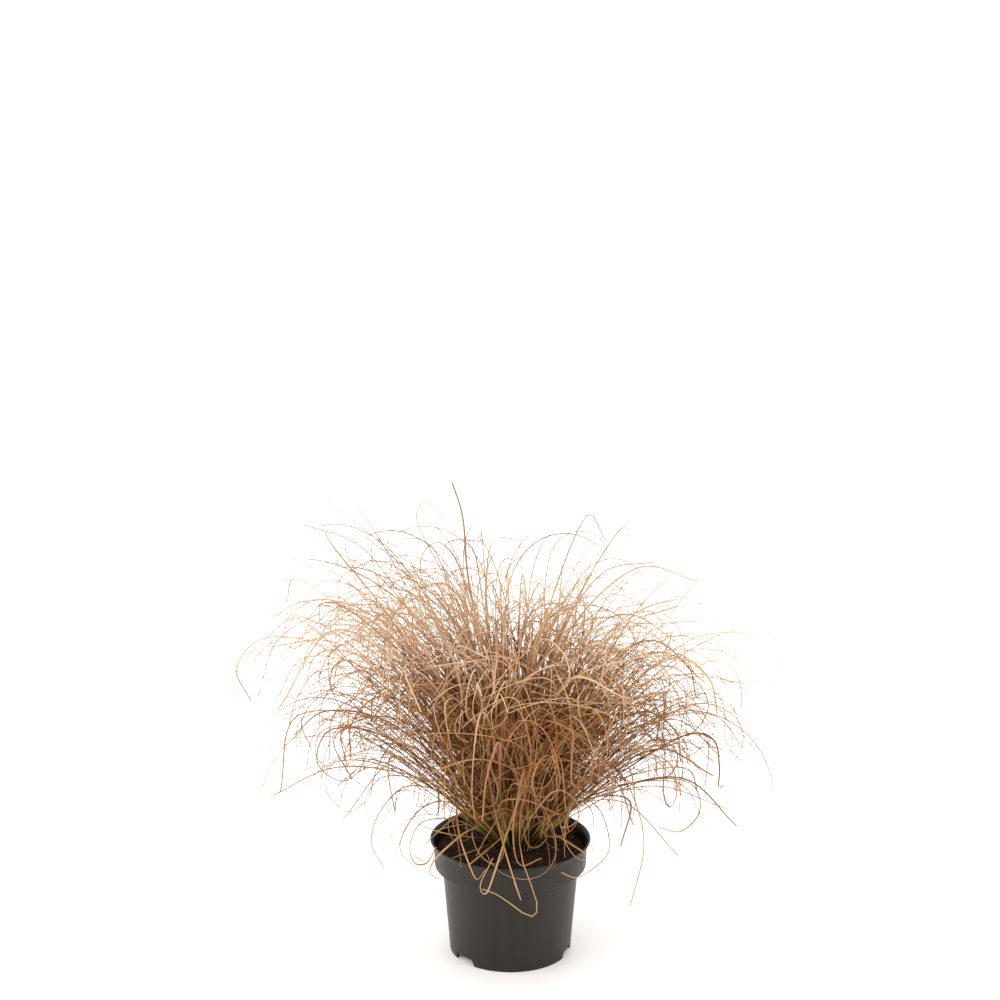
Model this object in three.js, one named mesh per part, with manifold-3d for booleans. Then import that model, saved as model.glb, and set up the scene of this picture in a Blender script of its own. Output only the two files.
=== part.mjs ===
// A bronze carex sedge growing in a round nursery pot.
// Millimetres, +Z up. The pot's axis is the Z axis, its foot stands on Z = 0 and its front faces -Y.
import * as THREE from 'three';
import { mergeVertices } from 'three/addons/utils/BufferGeometryUtils.js';
import Module from 'manifold-3d';

const wasm = await Module();
wasm.setup();

// ---------- Pot ----------
const POT_HEIGHT = 124;
const LIP_RADIUS = 85;
const LIP_WIDTH = 1.8; // of the lip's flat top
const LIP_EDGE = 1; // the height of its outer edge
const FLARE_RADIUS = 82.3; // halfway up the flare that the collar ends in under the lip
const FLARE_HEIGHT = 7;
const COLLAR_RADIUS = 81.3; // just under the flare
const COLLAR_FOOT_RADIUS = 80.4;
const COLLAR_HEIGHT = 29; // from the top of the lip down to the collar's lower edge
const LEDGE_DROP = 4; // the ledge slopes in and down from the collar to the wall
const WALL_TOP_RADIUS = 72;
const FOOT_RADIUS = 64.4;
const FOOT_ROUND = 1;
const FOOT_RING_WIDTH = 2.6;
const WALL = 1.5;
const FLOOR_UNDERSIDE = 8; // the floor is raised inside the foot ring
const POT_SIDES = 40;

// Drainage: notches through the foot ring, and round holes in the floor.
const NOTCH_AZIMUTHS = [101, 221, 341];
const NOTCH_WIDTH = 28;
const NOTCH_HEIGHT = 7.5;
const NOTCH_SLANT = 4; // each side leans in by this much at the top, most of it above the shoulder
const NOTCH_SHOULDER = 5.2;
const NOTCH_REACH = 16; // of the cutter, along the radius
const HOLE_COUNT = 6;
const HOLE_RADIUS = 5;
const HOLE_RING_RADIUS = 44;
const HOLE_TURN = 11;
const HOLE_SIDES = 10;

// ---------- Soil ----------
const GAP = 0.3; // between neighbouring pieces
const SOIL_LEVEL = 111.5;
const SOIL_RINGS = [64, 46, 0]; // radii of the vertices of its uneven top
const SOIL_SIDES = 28;
const SOIL_LUMPS = 1.3; // how far the top rises and falls
const SOIL_WAVES = [0.13, 0.17, 0.12]; // per mm: along X, along Y, and askew
const SOIL_PHASE = 1.1;

// ---------- Crown: shoot tufts side by side, in rings about the centre of the plant ----------
const PLANT_CENTRE = [6, 18]; // a little behind the axis of the pot
const CROWN_RADIUS = 5.2; // of one tuft's crown of sheaths, at the soil
const CROWN_NECK = 4.2;
const CROWN_DEPTH = 17; // below the soil level
const CROWN_SHOULDER = 4; // heights above the soil level: of the full width, the neck and the top
const CROWN_NECK_RISE = 9.5;
const CROWN_RISE = 12;
const CROWN_SIDES = 6;
const CROWN_JITTER = 0.35;

// Each ring's leaves: how many a tuft has, how far from the tuft's own direction they fan out, and
// the ranges of their lean from upright where they leave the crown and of their length.
const RINGS = [
  { tufts: 1, radius: 0, turn: 0, leaves: 15, fan: 180, lean: [0, 19], length: [275, 425] },
  { tufts: 6, radius: 11.2, turn: 30, leaves: 15, fan: 38, lean: [4, 32], length: [270, 425] },
  { tufts: 12, radius: 22.6, turn: 0, leaves: 14, fan: 29, lean: [14, 50], length: [250, 415] },
];
const OUTER_RADIUS = RINGS[RINGS.length - 1].radius;

// ---------- Leaves ----------
const LEAF_WIDTH = 2;
const LEAF_THICKNESS = 0.8;
const TIP_WIDTH = 0.8;
const TIP_THICKNESS = 0.6;
const TAPER_START = 0.55; // the leaf keeps its width up to here, and narrows to its tip
const ROOT_SPREAD = 4.2; // leaves start this close to their crown's axis
const ROOT_RISE = [2.5, 7.5]; // above the soil level
const GENTLE_TURN = [8, 40]; // degrees that any leaf bends over along its whole length
const GENTLE_POWER = 1.6; // how late along the leaf it does so
// The arc that a leaf ends in: how many degrees it turns, and where on the leaf it starts.
const HOOKS = { turn: [140, 300], start: [0.42, 0.76] };
const ARCHES = { turn: [40, 140], start: [0.3, 0.7] };
const CURLS = { turn: [140, 280], start: [0.2, 0.45] }; // of the low leaves
const HOOK_SHARE = 0.28;
const ARC_POWER = 1.35; // an arc gets tighter towards the tip
const DRIFT = [-75, 75]; // degrees that a leaf swings sideways along its whole length
const SWAY = [-90, 90]; // and that its arc swings on
const HOOK_SWAY = 1.5; // a hook's is this much larger
const SHORT_SHARE = 0.25; // leaves that are still short
const SHORTER = [0.45, 0.8]; // of the length drawn
const FULL_SIDE = 172; // degrees, the side on which the plant has its longest leaves
const FULLER = 0.09; // they are this share longer there, and shorter on the other side
const LOW_SHARE = 0.03; // leaves of the outer ring that lie low over the soil and the rim
const LOW_LEAN = [50, 66];
const LOW_LENGTH = [80, 200];
const SKIRT_RADIUS = 28; // the stems of the rest keep above a cone about the plant's centre
const SKIRT_SLOPE = [0.68, 1.1];
const TIP_SHARE = [0.35, 0.75]; // and their tips above this share of the leaf's highest point,
const HANGING_SHARE = 0.25; // but for these of the hooked leaves
const STEM_STEPS = 2; // before the arc
const STEP_EASE = 0.74; // shorter steps towards the tip, where the arc is tightest
const TURN_PER_STEP = 67; // degrees of arc in one step, at most
const FEWEST_ARC_STEPS = 2;
const LEAF_CLEARANCE = LEAF_WIDTH + GAP; // between the middle lines of leaves of two tufts
const SIBLING_CLEARANCE = 1.6; // and of leaves of one tuft, once they have left its crown
const SHARED_LENGTH = 4; // how far from the root that is,
const SHARED_SHARE = 0.9; // and how much of the first step at most
const TESTED_SHARES = [0.25, 0.5, 0.75, 1]; // of each step, where it's tested for room
const MOST_TRIES = 1500;
const REACH = 284; // how far any drawn leaf goes from the axis along X and Y
const TOP = 496;
const LOWEST_TIP = 116;
const SEED = 20417;

// Single strands with a course of their own, by points from the crown to the tip. ring and tuft say
// which crown bears them.
const STRANDS = [
  // over the rim in front
  { ring: 2, tuft: 9, course: [[-29, -46, 199], [-41, -75, 251], [-30, -100, 283], [-4, -125, 288],
    [15, -138, 268], [17, -140, 239], [9, -134, 204], [10, -122, 155], [26, -113, 101], [19, -107, 83],
    [-11, -103, 103], [-29, -99, 109]] },
  { ring: 2, tuft: 10, course: [[28, -50, 200], [35, -88, 262], [20, -115, 244], [0, -118, 190],
    [-16, -112, 134], [-25, -108, 108], [-31, -103, 115], [-18, -100, 143]] },
  { ring: 2, tuft: 8, course: [[-20, -62, 204], [-24, -92, 240], [-17, -108, 200], [-4, -108, 147],
    [10, -103, 99], [3, -98, 116]] },
  { ring: 2, tuft: 7, course: [[-40, -50, 178], [-54, -75, 188], [-52, -92, 164], [-41, -98, 132],
    [-34, -96, 118], [-25, -94, 128]] },
  { ring: 2, tuft: 11, course: [[58, -40, 181], [86, -60, 185], [99, -75, 161], [97, -82, 137],
    [69, -88, 117], [51, -88, 122]] },
  // low over the soil and the rim
  { ring: 2, tuft: 8, course: [[-13, -7, 122], [-22, -33, 125], [-33, -63, 128], [-43, -84, 128]] },
  { ring: 2, tuft: 7, course: [[-19, -1, 118], [-29, -16, 119], [-46, -32, 119], [-61, -43, 118]] },
  { ring: 2, tuft: 7, course: [[-26, -4, 124], [-51, -15, 131], [-74, -19, 137], [-97, -12, 143]] },
  { ring: 2, tuft: 10, course: [[11, -14, 171], [12, -26, 189], [13, -30, 164], [15, -29, 137],
    [21, -26, 123], [31, -22, 123], [39, -14, 129]] },
  { ring: 2, tuft: 11, course: [[31, 5, 118], [41, -11, 119], [51, -24, 119]] },
  { ring: 2, tuft: 8, course: [[-21, -10, 146], [-35, -29, 147], [-48, -46, 147], [-64, -61, 139],
    [-78, -68, 127], [-83, -70, 114], [-74, -70, 107]] },
  { ring: 2, tuft: 7, course: [[-22, -8, 156], [-32, -22, 166], [-46, -36, 168], [-63, -46, 160],
    [-82, -54, 145], [-98, -58, 129], [-89, -58, 120]] },
  { ring: 2, tuft: 6, course: [[-30, 11, 131], [-45, 8, 135], [-63, 6, 133], [-79, 6, 128]] },
  { ring: 2, tuft: 11, course: [[31, -12, 165], [38, -24, 181], [46, -38, 177], [52, -50, 156],
    [57, -60, 141], [67, -68, 130], [78, -70, 127]] },
  { ring: 2, tuft: 11, course: [[35, -4, 130], [50, -22, 133], [65, -38, 130], [78, -48, 125]] },
  // at the sides
  { ring: 2, tuft: 0, course: [[47, -16, 186], [83, -30, 220], [111, -40, 212], [130, -45, 176],
    [138, -46, 129], [125, -45, 66]] },
  { ring: 2, tuft: 6, course: [[-63, -10, 173], [-107, -20, 189], [-135, -30, 166], [-145, -35, 133],
    [-132, -35, 103]] },
  { ring: 1, tuft: 2, course: [[-77, 4, 226], [-133, -12, 262], [-182, -26, 244], [-164, -32, 200]] },
  { ring: 2, tuft: 8, course: [[-56, -66, 186], [-85, -84, 193], [-106, -96, 173], [-111, -100, 149],
    [-92, -103, 131]] },
  // above the rest
  { ring: 0, tuft: 0, course: [[-21, 0, 288], [-43, 5, 400], [-49, 8, 468], [-60, 10, 506]] },
  { ring: 1, tuft: 1, course: [[-31, 20, 285], [-66, 34, 392], [-97, 40, 456], [-89, 42, 478],
    [-70, 40, 462]] },
  { ring: 1, tuft: 3, course: [[-52, -22, 300], [-93, -36, 410], [-145, -46, 462]] },
  { ring: 1, tuft: 5, course: [[36, -22, 295], [67, -34, 392], [96, -42, 450], [114, -44, 472],
    [116, -44, 448]] },
  { ring: 1, tuft: 0, course: [[24, 14, 299], [52, 26, 405], [80, 32, 466], [98, 34, 440]] },
  // out to the furthest tips
  { ring: 2, tuft: 6, course: [[-114, 8, 264], [-196, 12, 330], [-258, 17, 338], [-288, 21, 304],
    [-274, 24, 266]] },
  { ring: 2, tuft: 0, course: [[116, 12, 262], [196, 18, 330], [258, 24, 346], [288, 27, 318],
    [278, 28, 280]] },
  { ring: 2, tuft: 3, course: [[8, 116, 264], [12, 198, 334], [16, 262, 344], [20, 288, 310],
    [22, 276, 276]] },
  { ring: 2, tuft: 9, course: [[-16, -118, 272], [-27, -196, 330], [-33, -258, 328], [-36, -288, 290],
    [-34, -280, 258]] },
];
const STRAND_STEP = 38; // mm of strand to one step

// ---------- Materials ----------
const POT_PLASTIC = new THREE.MeshStandardMaterial({ color: '#3b3835', roughness: 0.5, metalness: 0 });
const PEAT = new THREE.MeshStandardMaterial({ color: '#3a281c', roughness: 1, metalness: 0 });
const LEAF = new THREE.MeshStandardMaterial({ color: '#a87a4e', roughness: 0.6, metalness: 0 });

// ---------- Numbers ----------
const WELD = 1e-4; // corners closer than this are one
const SHORTEST_EDGE = 0.05; // shorter ones, left where leaves join, are closed up
const radians = THREE.MathUtils.degToRad;
const mix = THREE.MathUtils.lerp;

// Repeatable random numbers from 0 to 1.
let randomState = SEED;
function random() {
  randomState = (randomState * 1664525 + 1013904223) % 4294967296;
  return randomState / 4294967296;
}

function draw([low, high]) {
  return mix(low, high, random());
}

// ---------- Solids ----------
// A closed geometry as a solid that can be joined and cut.
function solidOf(geometry) {
  const bare = geometry.clone();
  bare.deleteAttribute('normal');
  bare.deleteAttribute('uv');
  const merged = mergeVertices(bare, WELD);
  const corners = merged.index.array;
  const triVerts = [];
  for (let i = 0; i < corners.length; i += 3) {
    const [a, b, c] = [corners[i], corners[i + 1], corners[i + 2]];
    if (a !== b && b !== c && c !== a) triVerts.push(a, b, c);
  }
  return new wasm.Manifold(new wasm.Mesh({
    numProp: 3,
    vertProperties: merged.attributes.position.array,
    triVerts: new Uint32Array(triVerts),
  }));
}

// A solid as a named mesh. Scraps and sealed hollows left by joining are dropped.
function meshOf(name, solid, material) {
  const bodies = solid.simplify(SHORTEST_EDGE).decompose();
  bodies.sort((a, b) => b.volume() - a.volume());
  const { vertProperties, triVerts, numProp } = bodies[0].getMesh();
  const geometry = new THREE.BufferGeometry();
  geometry.setAttribute('position', new THREE.BufferAttribute(vertProperties, numProp));
  geometry.setIndex(new THREE.BufferAttribute(triVerts, 1));
  geometry.computeVertexNormals();
  const mesh = new THREE.Mesh(geometry, material);
  mesh.name = name;
  return mesh;
}

// A turned solid about the Z axis from a profile of [radius, height] points.
function turned(profile, sides) {
  const lathe = new THREE.LatheGeometry(profile.map(([r, z]) => new THREE.Vector2(r, z)), sides);
  return lathe.rotateX(Math.PI / 2);
}

// ---------- Pot ----------
function innerWallRadius(z) {
  const wallFoot = FOOT_ROUND;
  const wallTop = POT_HEIGHT - COLLAR_HEIGHT - LEDGE_DROP;
  return mix(FOOT_RADIUS, WALL_TOP_RADIUS, (z - wallFoot) / (wallTop - wallFoot)) - WALL;
}

function potProfile() {
  const collarFoot = POT_HEIGHT - COLLAR_HEIGHT;
  const wallTop = collarFoot - LEDGE_DROP;
  const footInside = FOOT_RADIUS - FOOT_RING_WIDTH;
  const floorTop = FLOOR_UNDERSIDE + WALL;
  return [
    [0, FLOOR_UNDERSIDE],
    [footInside, FLOOR_UNDERSIDE],
    [footInside, 0],
    [FOOT_RADIUS - FOOT_ROUND, 0],
    [FOOT_RADIUS, FOOT_ROUND],
    [WALL_TOP_RADIUS, wallTop],
    [COLLAR_FOOT_RADIUS, collarFoot],
    [COLLAR_RADIUS, POT_HEIGHT - FLARE_HEIGHT],
    [FLARE_RADIUS, POT_HEIGHT - FLARE_HEIGHT / 2],
    [LIP_RADIUS, POT_HEIGHT - LIP_EDGE],
    [LIP_RADIUS, POT_HEIGHT],
    [LIP_RADIUS - LIP_WIDTH, POT_HEIGHT],
    [FLARE_RADIUS - WALL, POT_HEIGHT - FLARE_HEIGHT / 2],
    [COLLAR_RADIUS - WALL, POT_HEIGHT - FLARE_HEIGHT],
    [COLLAR_FOOT_RADIUS - WALL, collarFoot + WALL / 2],
    [innerWallRadius(wallTop), wallTop + WALL / 2],
    [innerWallRadius(floorTop), floorTop],
    [0, floorTop],
  ];
}

// One notch's cutter: a slant-sided opening pushed out through the foot ring.
function notchCutter(azimuth) {
  const half = NOTCH_WIDTH / 2;
  const outline = new THREE.Shape([
    new THREE.Vector2(-half, -FOOT_ROUND),
    new THREE.Vector2(half, -FOOT_ROUND),
    new THREE.Vector2(half - NOTCH_SLANT / 3, NOTCH_SHOULDER),
    new THREE.Vector2(half - NOTCH_SLANT, NOTCH_HEIGHT),
    new THREE.Vector2(-half + NOTCH_SLANT, NOTCH_HEIGHT),
    new THREE.Vector2(-half + NOTCH_SLANT / 3, NOTCH_SHOULDER),
  ]);
  const cutter = new THREE.ExtrudeGeometry(outline, { depth: NOTCH_REACH, bevelEnabled: false });
  cutter.rotateX(Math.PI / 2);
  cutter.translate(0, FOOT_RADIUS + NOTCH_REACH / 2, 0);
  cutter.rotateZ(radians(azimuth - 90));
  return solidOf(cutter);
}

function holeCutter(azimuth) {
  const cutter = new THREE.CylinderGeometry(HOLE_RADIUS, HOLE_RADIUS, 4 * WALL, HOLE_SIDES);
  cutter.rotateX(Math.PI / 2);
  cutter.translate(HOLE_RING_RADIUS, 0, FLOOR_UNDERSIDE + WALL / 2);
  cutter.rotateZ(radians(azimuth));
  return solidOf(cutter);
}

function makePot() {
  let pot = solidOf(turned(potProfile(), POT_SIDES));
  for (const azimuth of NOTCH_AZIMUTHS) {
    pot = pot.subtract(notchCutter(azimuth));
  }
  for (let i = 0; i < HOLE_COUNT; i += 1) {
    pot = pot.subtract(holeCutter((360 * i) / HOLE_COUNT + HOLE_TURN));
  }
  return meshOf('pot', pot, POT_PLASTIC);
}

// ---------- Crown ----------
// The profile of one tuft's crown of sheaths, or, with a margin, of the plain hole that it stands in.
function crownProfile(margin) {
  return [
    [0, SOIL_LEVEL - CROWN_DEPTH - margin],
    [CROWN_RADIUS + margin, SOIL_LEVEL - CROWN_DEPTH - margin],
    [CROWN_RADIUS + margin, SOIL_LEVEL + CROWN_SHOULDER + margin],
    [CROWN_NECK + margin, SOIL_LEVEL + CROWN_NECK_RISE + margin],
    [0, SOIL_LEVEL + CROWN_RISE + margin],
  ];
}

function crownSolid(tuft, margin) {
  return solidOf(turned(crownProfile(margin), CROWN_SIDES).translate(tuft.x, tuft.y, 0));
}

// The tufts, ring by ring: where each stands and the way that its leaves head.
function layOutTufts() {
  const tufts = [];
  for (const [ring, { tufts: count, radius, turn }] of RINGS.entries()) {
    for (let index = 0; index < count; index += 1) {
      const azimuth = turn + (360 * index) / count;
      tufts.push({
        ring,
        index,
        azimuth,
        x: PLANT_CENTRE[0] + radius * Math.cos(radians(azimuth)) + CROWN_JITTER * (random() - 0.5) * 2,
        y: PLANT_CENTRE[1] + radius * Math.sin(radians(azimuth)) + CROWN_JITTER * (random() - 0.5) * 2,
        lines: [],
      });
    }
  }
  return tufts;
}

// ---------- Leaf lines ----------
// A leaf's middle line: it leaves the root at its lean and bends over more and more towards the tip.
function growLine(root, { lean, azimuth, length, gentle, turn, start, drift, sway }) {
  const arcSteps = Math.max(Math.ceil(turn / TURN_PER_STEP), FEWEST_ARC_STEPS);
  const line = [root];
  let along = 0;
  for (let step = 1; step <= STEM_STEPS + arcSteps; step += 1) {
    const arcShare = Math.max(0, (step - STEM_STEPS) / arcSteps) ** STEP_EASE;
    const next = step <= STEM_STEPS ? start * step / STEM_STEPS : mix(start, 1, arcShare);
    const middle = (along + next) / 2;
    const late = Math.max(0, (middle - start) / (1 - start));
    const polar = radians(lean + gentle * middle ** GENTLE_POWER + turn * late ** ARC_POWER);
    const heading = radians(azimuth + drift * middle + sway * late);
    const stride = length * (next - along);
    line.push(new THREE.Vector3(
      line[step - 1].x + stride * Math.sin(polar) * Math.cos(heading),
      line[step - 1].y + stride * Math.sin(polar) * Math.sin(heading),
      line[step - 1].z + stride * Math.cos(polar),
    ));
    along = next;
  }
  return line;
}

function drawRoot(tuft) {
  const turn = random() * 2 * Math.PI;
  const radius = ROOT_SPREAD * Math.sqrt(random());
  return new THREE.Vector3(
    tuft.x + radius * Math.cos(turn),
    tuft.y + radius * Math.sin(turn),
    SOIL_LEVEL + draw(ROOT_RISE),
  );
}

function drawHabit(tuft) {
  const { fan, lean, length, radius } = RINGS[tuft.ring];
  const low = random() < LOW_SHARE && radius === OUTER_RADIUS;
  const hooked = random() < HOOK_SHARE;
  const arc = hooked ? HOOKS : ARCHES;
  const bend = low ? CURLS : arc;
  const short = random() < SHORT_SHARE;
  const azimuth = tuft.azimuth + fan * (random() * 2 - 1);
  const fullness = 1 + FULLER * Math.cos(radians(azimuth - FULL_SIDE));
  return {
    low,
    hooked,
    azimuth,
    lean: draw(low ? LOW_LEAN : lean),
    length: draw(low ? LOW_LENGTH : length) * fullness * (short && !low ? draw(SHORTER) : 1),
    gentle: draw(GENTLE_TURN),
    turn: draw(bend.turn),
    start: draw(bend.start),
    drift: draw(DRIFT),
    sway: draw(SWAY) * (hooked ? HOOK_SWAY : 1),
  };
}

// A strand's line: a smooth curve from its crown through its course.
function strandLine(tuft, course) {
  const root = new THREE.Vector3(tuft.x, tuft.y, SOIL_LEVEL + ROOT_RISE[0]);
  const points = [root, ...course.map((point) => new THREE.Vector3(...point))];
  const curve = new THREE.CatmullRomCurve3(points, false, 'catmullrom', 0.5);
  const steps = Math.max(Math.round(curve.getLength() / STRAND_STEP), course.length);
  return curve.getPoints(steps);
}

// ---------- Keeping leaves clear of each other, of the pot and of the soil ----------
function stepsOf(line) {
  return line.slice(1).map((end, i) => new THREE.Line3(line[i], end));
}

function pointIsClear(point) {
  const radius = Math.hypot(point.x, point.y);
  if (Math.max(Math.abs(point.x), Math.abs(point.y)) > REACH || point.z > TOP) return false;
  if (radius > LIP_RADIUS + LEAF_CLEARANCE) return point.z > LOWEST_TIP;
  const below = radius > WALL_TOP_RADIUS ? POT_HEIGHT : SOIL_LEVEL + SOIL_LUMPS;
  return point.z > below + LEAF_WIDTH;
}

function lineIsInRoom(line) {
  return stepsOf(line).every((step) => TESTED_SHARES.every(
    (share) => pointIsClear(step.at(share, new THREE.Vector3())),
  ));
}

// Whether a leaf holds itself up: its stem above a cone and its tip well up. Low leaves don't have to,
// and some hooks may hang.
function holdsUp(line, { low, hooked }) {
  const hangs = random() < HANGING_SHARE && hooked;
  const slope = draw(SKIRT_SLOPE);
  const tipShare = draw(TIP_SHARE);
  if (low) return true;
  const heights = line.map((point) => point.z - SOIL_LEVEL);
  const tipIsUp = hangs || heights[heights.length - 1] > tipShare * Math.max(...heights);
  const stem = line.slice(0, STEM_STEPS + 1);
  const reaches = stem.map(({ x, y }) => Math.hypot(x - PLANT_CENTRE[0], y - PLANT_CENTRE[1]));
  return tipIsUp && reaches.every((reach, i) => heights[i] > slope * (reach - SKIRT_RADIUS));
}

function clearOfCrowns(steps, tuft, tufts) {
  const room = CROWN_RADIUS + LEAF_WIDTH / 2 + GAP;
  return tufts.every((other) => {
    if (other === tuft) return true;
    const axis = new THREE.Line3(
      new THREE.Vector3(other.x, other.y, SOIL_LEVEL),
      new THREE.Vector3(other.x, other.y, SOIL_LEVEL + CROWN_NECK_RISE),
    );
    return steps.every((step) => step.distanceSqToLine3(axis) > room ** 2);
  });
}

// A step with its tuft and, for quick tests, its middle and half its length. Its free part is what
// leaves of the same tuft keep clear of.
function measured(step, index, tuft) {
  const free = step.clone();
  if (index === 0) step.at(Math.min(SHARED_LENGTH / step.distance(), SHARED_SHARE), free.start);
  return { step, free, tuft, middle: step.getCenter(new THREE.Vector3()), half: step.distance() / 2 };
}

function stepsMeet(first, second) {
  const apart = first.middle.distanceTo(second.middle);
  if (apart > first.half + second.half + LEAF_CLEARANCE) return false;
  return first.tuft === second.tuft
    ? first.free.distanceSqToLine3(second.free) < SIBLING_CLEARANCE ** 2
    : first.step.distanceSqToLine3(second.step) < LEAF_CLEARANCE ** 2;
}

function clearOfLeaves(candidate, placed) {
  return candidate.every((own) => placed.every((other) => !stepsMeet(own, other)));
}

// Draws every leaf's line. One that would cross another tuft is drawn again until it passes clear.
function growLeaves(tufts) {
  const placed = [];
  const keep = (tuft, line) => {
    tuft.lines.push(line);
    placed.push(...stepsOf(line).map((step, index) => measured(step, index, tuft)));
  };
  for (const { ring, tuft: index, course } of STRANDS) {
    const tuft = tufts.find((one) => one.ring === ring && one.index === index);
    keep(tuft, strandLine(tuft, course));
  }
  for (const tuft of tufts) {
    for (let leaf = 0; leaf < RINGS[tuft.ring].leaves; leaf += 1) {
      for (let attempt = 0; attempt < MOST_TRIES; attempt += 1) {
        const root = drawRoot(tuft);
        const habit = drawHabit(tuft);
        const line = growLine(root, habit);
        if (!holdsUp(line, habit) || !lineIsInRoom(line)) continue;
        const steps = stepsOf(line);
        if (!clearOfCrowns(steps, tuft, tufts)) continue;
        if (!clearOfLeaves(steps.map((step, i) => measured(step, i, tuft)), placed)) continue;
        keep(tuft, line);
        break;
      }
    }
  }
}

// ---------- Leaf solids ----------
// A three-sided blade along its line: two edges and, on the underside, a keel.
function leafSolid(line) {
  const count = line.length;
  const heading = new THREE.Vector3().subVectors(line[1], line[0]).normalize();
  const side = new THREE.Vector3(-heading.y, heading.x, 0).normalize();
  const positions = [];
  for (let i = 0; i < count; i += 1) {
    const before = line[Math.max(i - 1, 0)];
    const after = line[Math.min(i + 1, count - 1)];
    const along = new THREE.Vector3().subVectors(after, before).normalize();
    side.addScaledVector(along, -side.dot(along)).normalize();
    const under = new THREE.Vector3().crossVectors(side, along);
    const taper = Math.max(0, (i / (count - 1) - TAPER_START) / (1 - TAPER_START));
    const half = mix(LEAF_WIDTH, TIP_WIDTH, taper) / 2;
    const keel = mix(LEAF_THICKNESS, TIP_THICKNESS, taper);
    positions.push(...line[i].clone().addScaledVector(side, -half).toArray());
    positions.push(...line[i].clone().addScaledVector(under, keel).toArray());
    positions.push(...line[i].clone().addScaledVector(side, half).toArray());
  }
  const index = [0, 2, 1];
  for (let i = 0; i + 1 < count; i += 1) {
    for (let corner = 0; corner < 3; corner += 1) {
      const a = 3 * i + corner;
      const b = 3 * i + ((corner + 1) % 3);
      index.push(a, b, b + 3, a, b + 3, a + 3);
    }
  }
  const tip = 3 * (count - 1);
  index.push(tip, tip + 1, tip + 2);
  const geometry = new THREE.BufferGeometry();
  geometry.setAttribute('position', new THREE.Float32BufferAttribute(positions, 3));
  geometry.setIndex(index);
  return solidOf(geometry);
}

function makeTuft(tuft, number) {
  let solid = crownSolid(tuft, 0);
  for (const line of tuft.lines) {
    solid = solid.add(leafSolid(line));
  }
  return meshOf(`tuft_${String(number).padStart(2, '0')}`, solid, LEAF);
}

// ---------- Soil ----------
function soilLumps(x, y) {
  const [wave, crossWave, skew] = SOIL_WAVES;
  return (SOIL_LUMPS / 2) * (Math.sin(wave * x + SOIL_PHASE) + Math.cos(crossWave * y - skew * x));
}

function makeSoil(tufts) {
  const floor = FLOOR_UNDERSIDE + WALL + GAP;
  const collarFoot = POT_HEIGHT - COLLAR_HEIGHT;
  const wallTop = collarFoot - LEDGE_DROP;
  const collarInside = COLLAR_FOOT_RADIUS - WALL - 2 * GAP;
  const profile = [
    [0, floor],
    [innerWallRadius(floor) - 2 * GAP, floor],
    [innerWallRadius(wallTop) - 2 * GAP, wallTop + WALL / 2 + GAP],
    [collarInside, collarFoot + WALL / 2 + 2 * GAP],
    [collarInside, SOIL_LEVEL],
    ...SOIL_RINGS.map((radius) => [radius, SOIL_LEVEL]),
  ];
  const geometry = turned(profile, SOIL_SIDES);
  const position = geometry.getAttribute('position');
  for (let i = 0; i < position.count; i += 1) {
    if (position.getZ(i) > SOIL_LEVEL - GAP) {
      position.setZ(i, SOIL_LEVEL + soilLumps(position.getX(i), position.getY(i)));
    }
  }
  let soil = solidOf(geometry);
  for (const tuft of tufts) {
    soil = soil.subtract(crownSolid(tuft, GAP));
  }
  return meshOf('soil', soil, PEAT);
}

// ---------- The whole ----------
const sedge = new THREE.Group();
const tufts = layOutTufts();
growLeaves(tufts);
sedge.add(makePot());
sedge.add(makeSoil(tufts));
for (const [number, tuft] of tufts.entries()) {
  sedge.add(makeTuft(tuft, number + 1));
}

export default sedge;
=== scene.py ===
"""A bronze carex sedge growing in a round nursery pot.

Named lengths are millimetres and angles degrees, unless a comment gives another unit. Meshes are
made in metres. The pot's axis is the Z axis, its foot stands on Z = 0 and its front faces -Y, and
places round it are counted from +X towards +Y.
"""
import math

import bpy
import numpy as np
from mathutils import Matrix, Vector, noise


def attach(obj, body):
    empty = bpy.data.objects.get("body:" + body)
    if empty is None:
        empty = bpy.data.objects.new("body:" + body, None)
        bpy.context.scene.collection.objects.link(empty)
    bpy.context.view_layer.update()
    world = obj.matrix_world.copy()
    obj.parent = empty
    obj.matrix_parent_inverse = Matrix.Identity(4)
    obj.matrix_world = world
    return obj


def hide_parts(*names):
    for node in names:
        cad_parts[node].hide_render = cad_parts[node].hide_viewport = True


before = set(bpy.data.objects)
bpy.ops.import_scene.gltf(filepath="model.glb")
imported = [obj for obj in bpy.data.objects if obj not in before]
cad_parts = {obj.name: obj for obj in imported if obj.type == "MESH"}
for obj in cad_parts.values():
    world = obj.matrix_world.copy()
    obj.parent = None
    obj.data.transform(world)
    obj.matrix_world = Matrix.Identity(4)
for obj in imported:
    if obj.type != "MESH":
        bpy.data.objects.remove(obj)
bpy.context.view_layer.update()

MM = 0.001
TINY = 1e-9  # the least length that a direction is divided by

# ---------- Pot ----------
POT_HEIGHT = 124
LIP_RADIUS = 85
LIP_WIDTH = 1.8  # of its flat top
LIP_EDGE = 1
FLARE_RADIUS = 82.3  # halfway up the flare under the lip
FLARE_HEIGHT = 7
COLLAR_RADIUS = 81.3
COLLAR_FOOT_RADIUS = 80.4
COLLAR_HEIGHT = 29
LEDGE_DROP = 4
WALL_TOP_RADIUS = 72
FOOT_RADIUS = 64.4
FOOT_RING_WIDTH = 2.6
SLOPE_START = 1  # the wall leans out from this height up
WALL = 1.3
FLOOR_UNDERSIDE = 8
COLLAR_FOOT = POT_HEIGHT - COLLAR_HEIGHT
WALL_TOP = COLLAR_FOOT - LEDGE_DROP
FLOOR_TOP = FLOOR_UNDERSIDE + WALL
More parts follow.
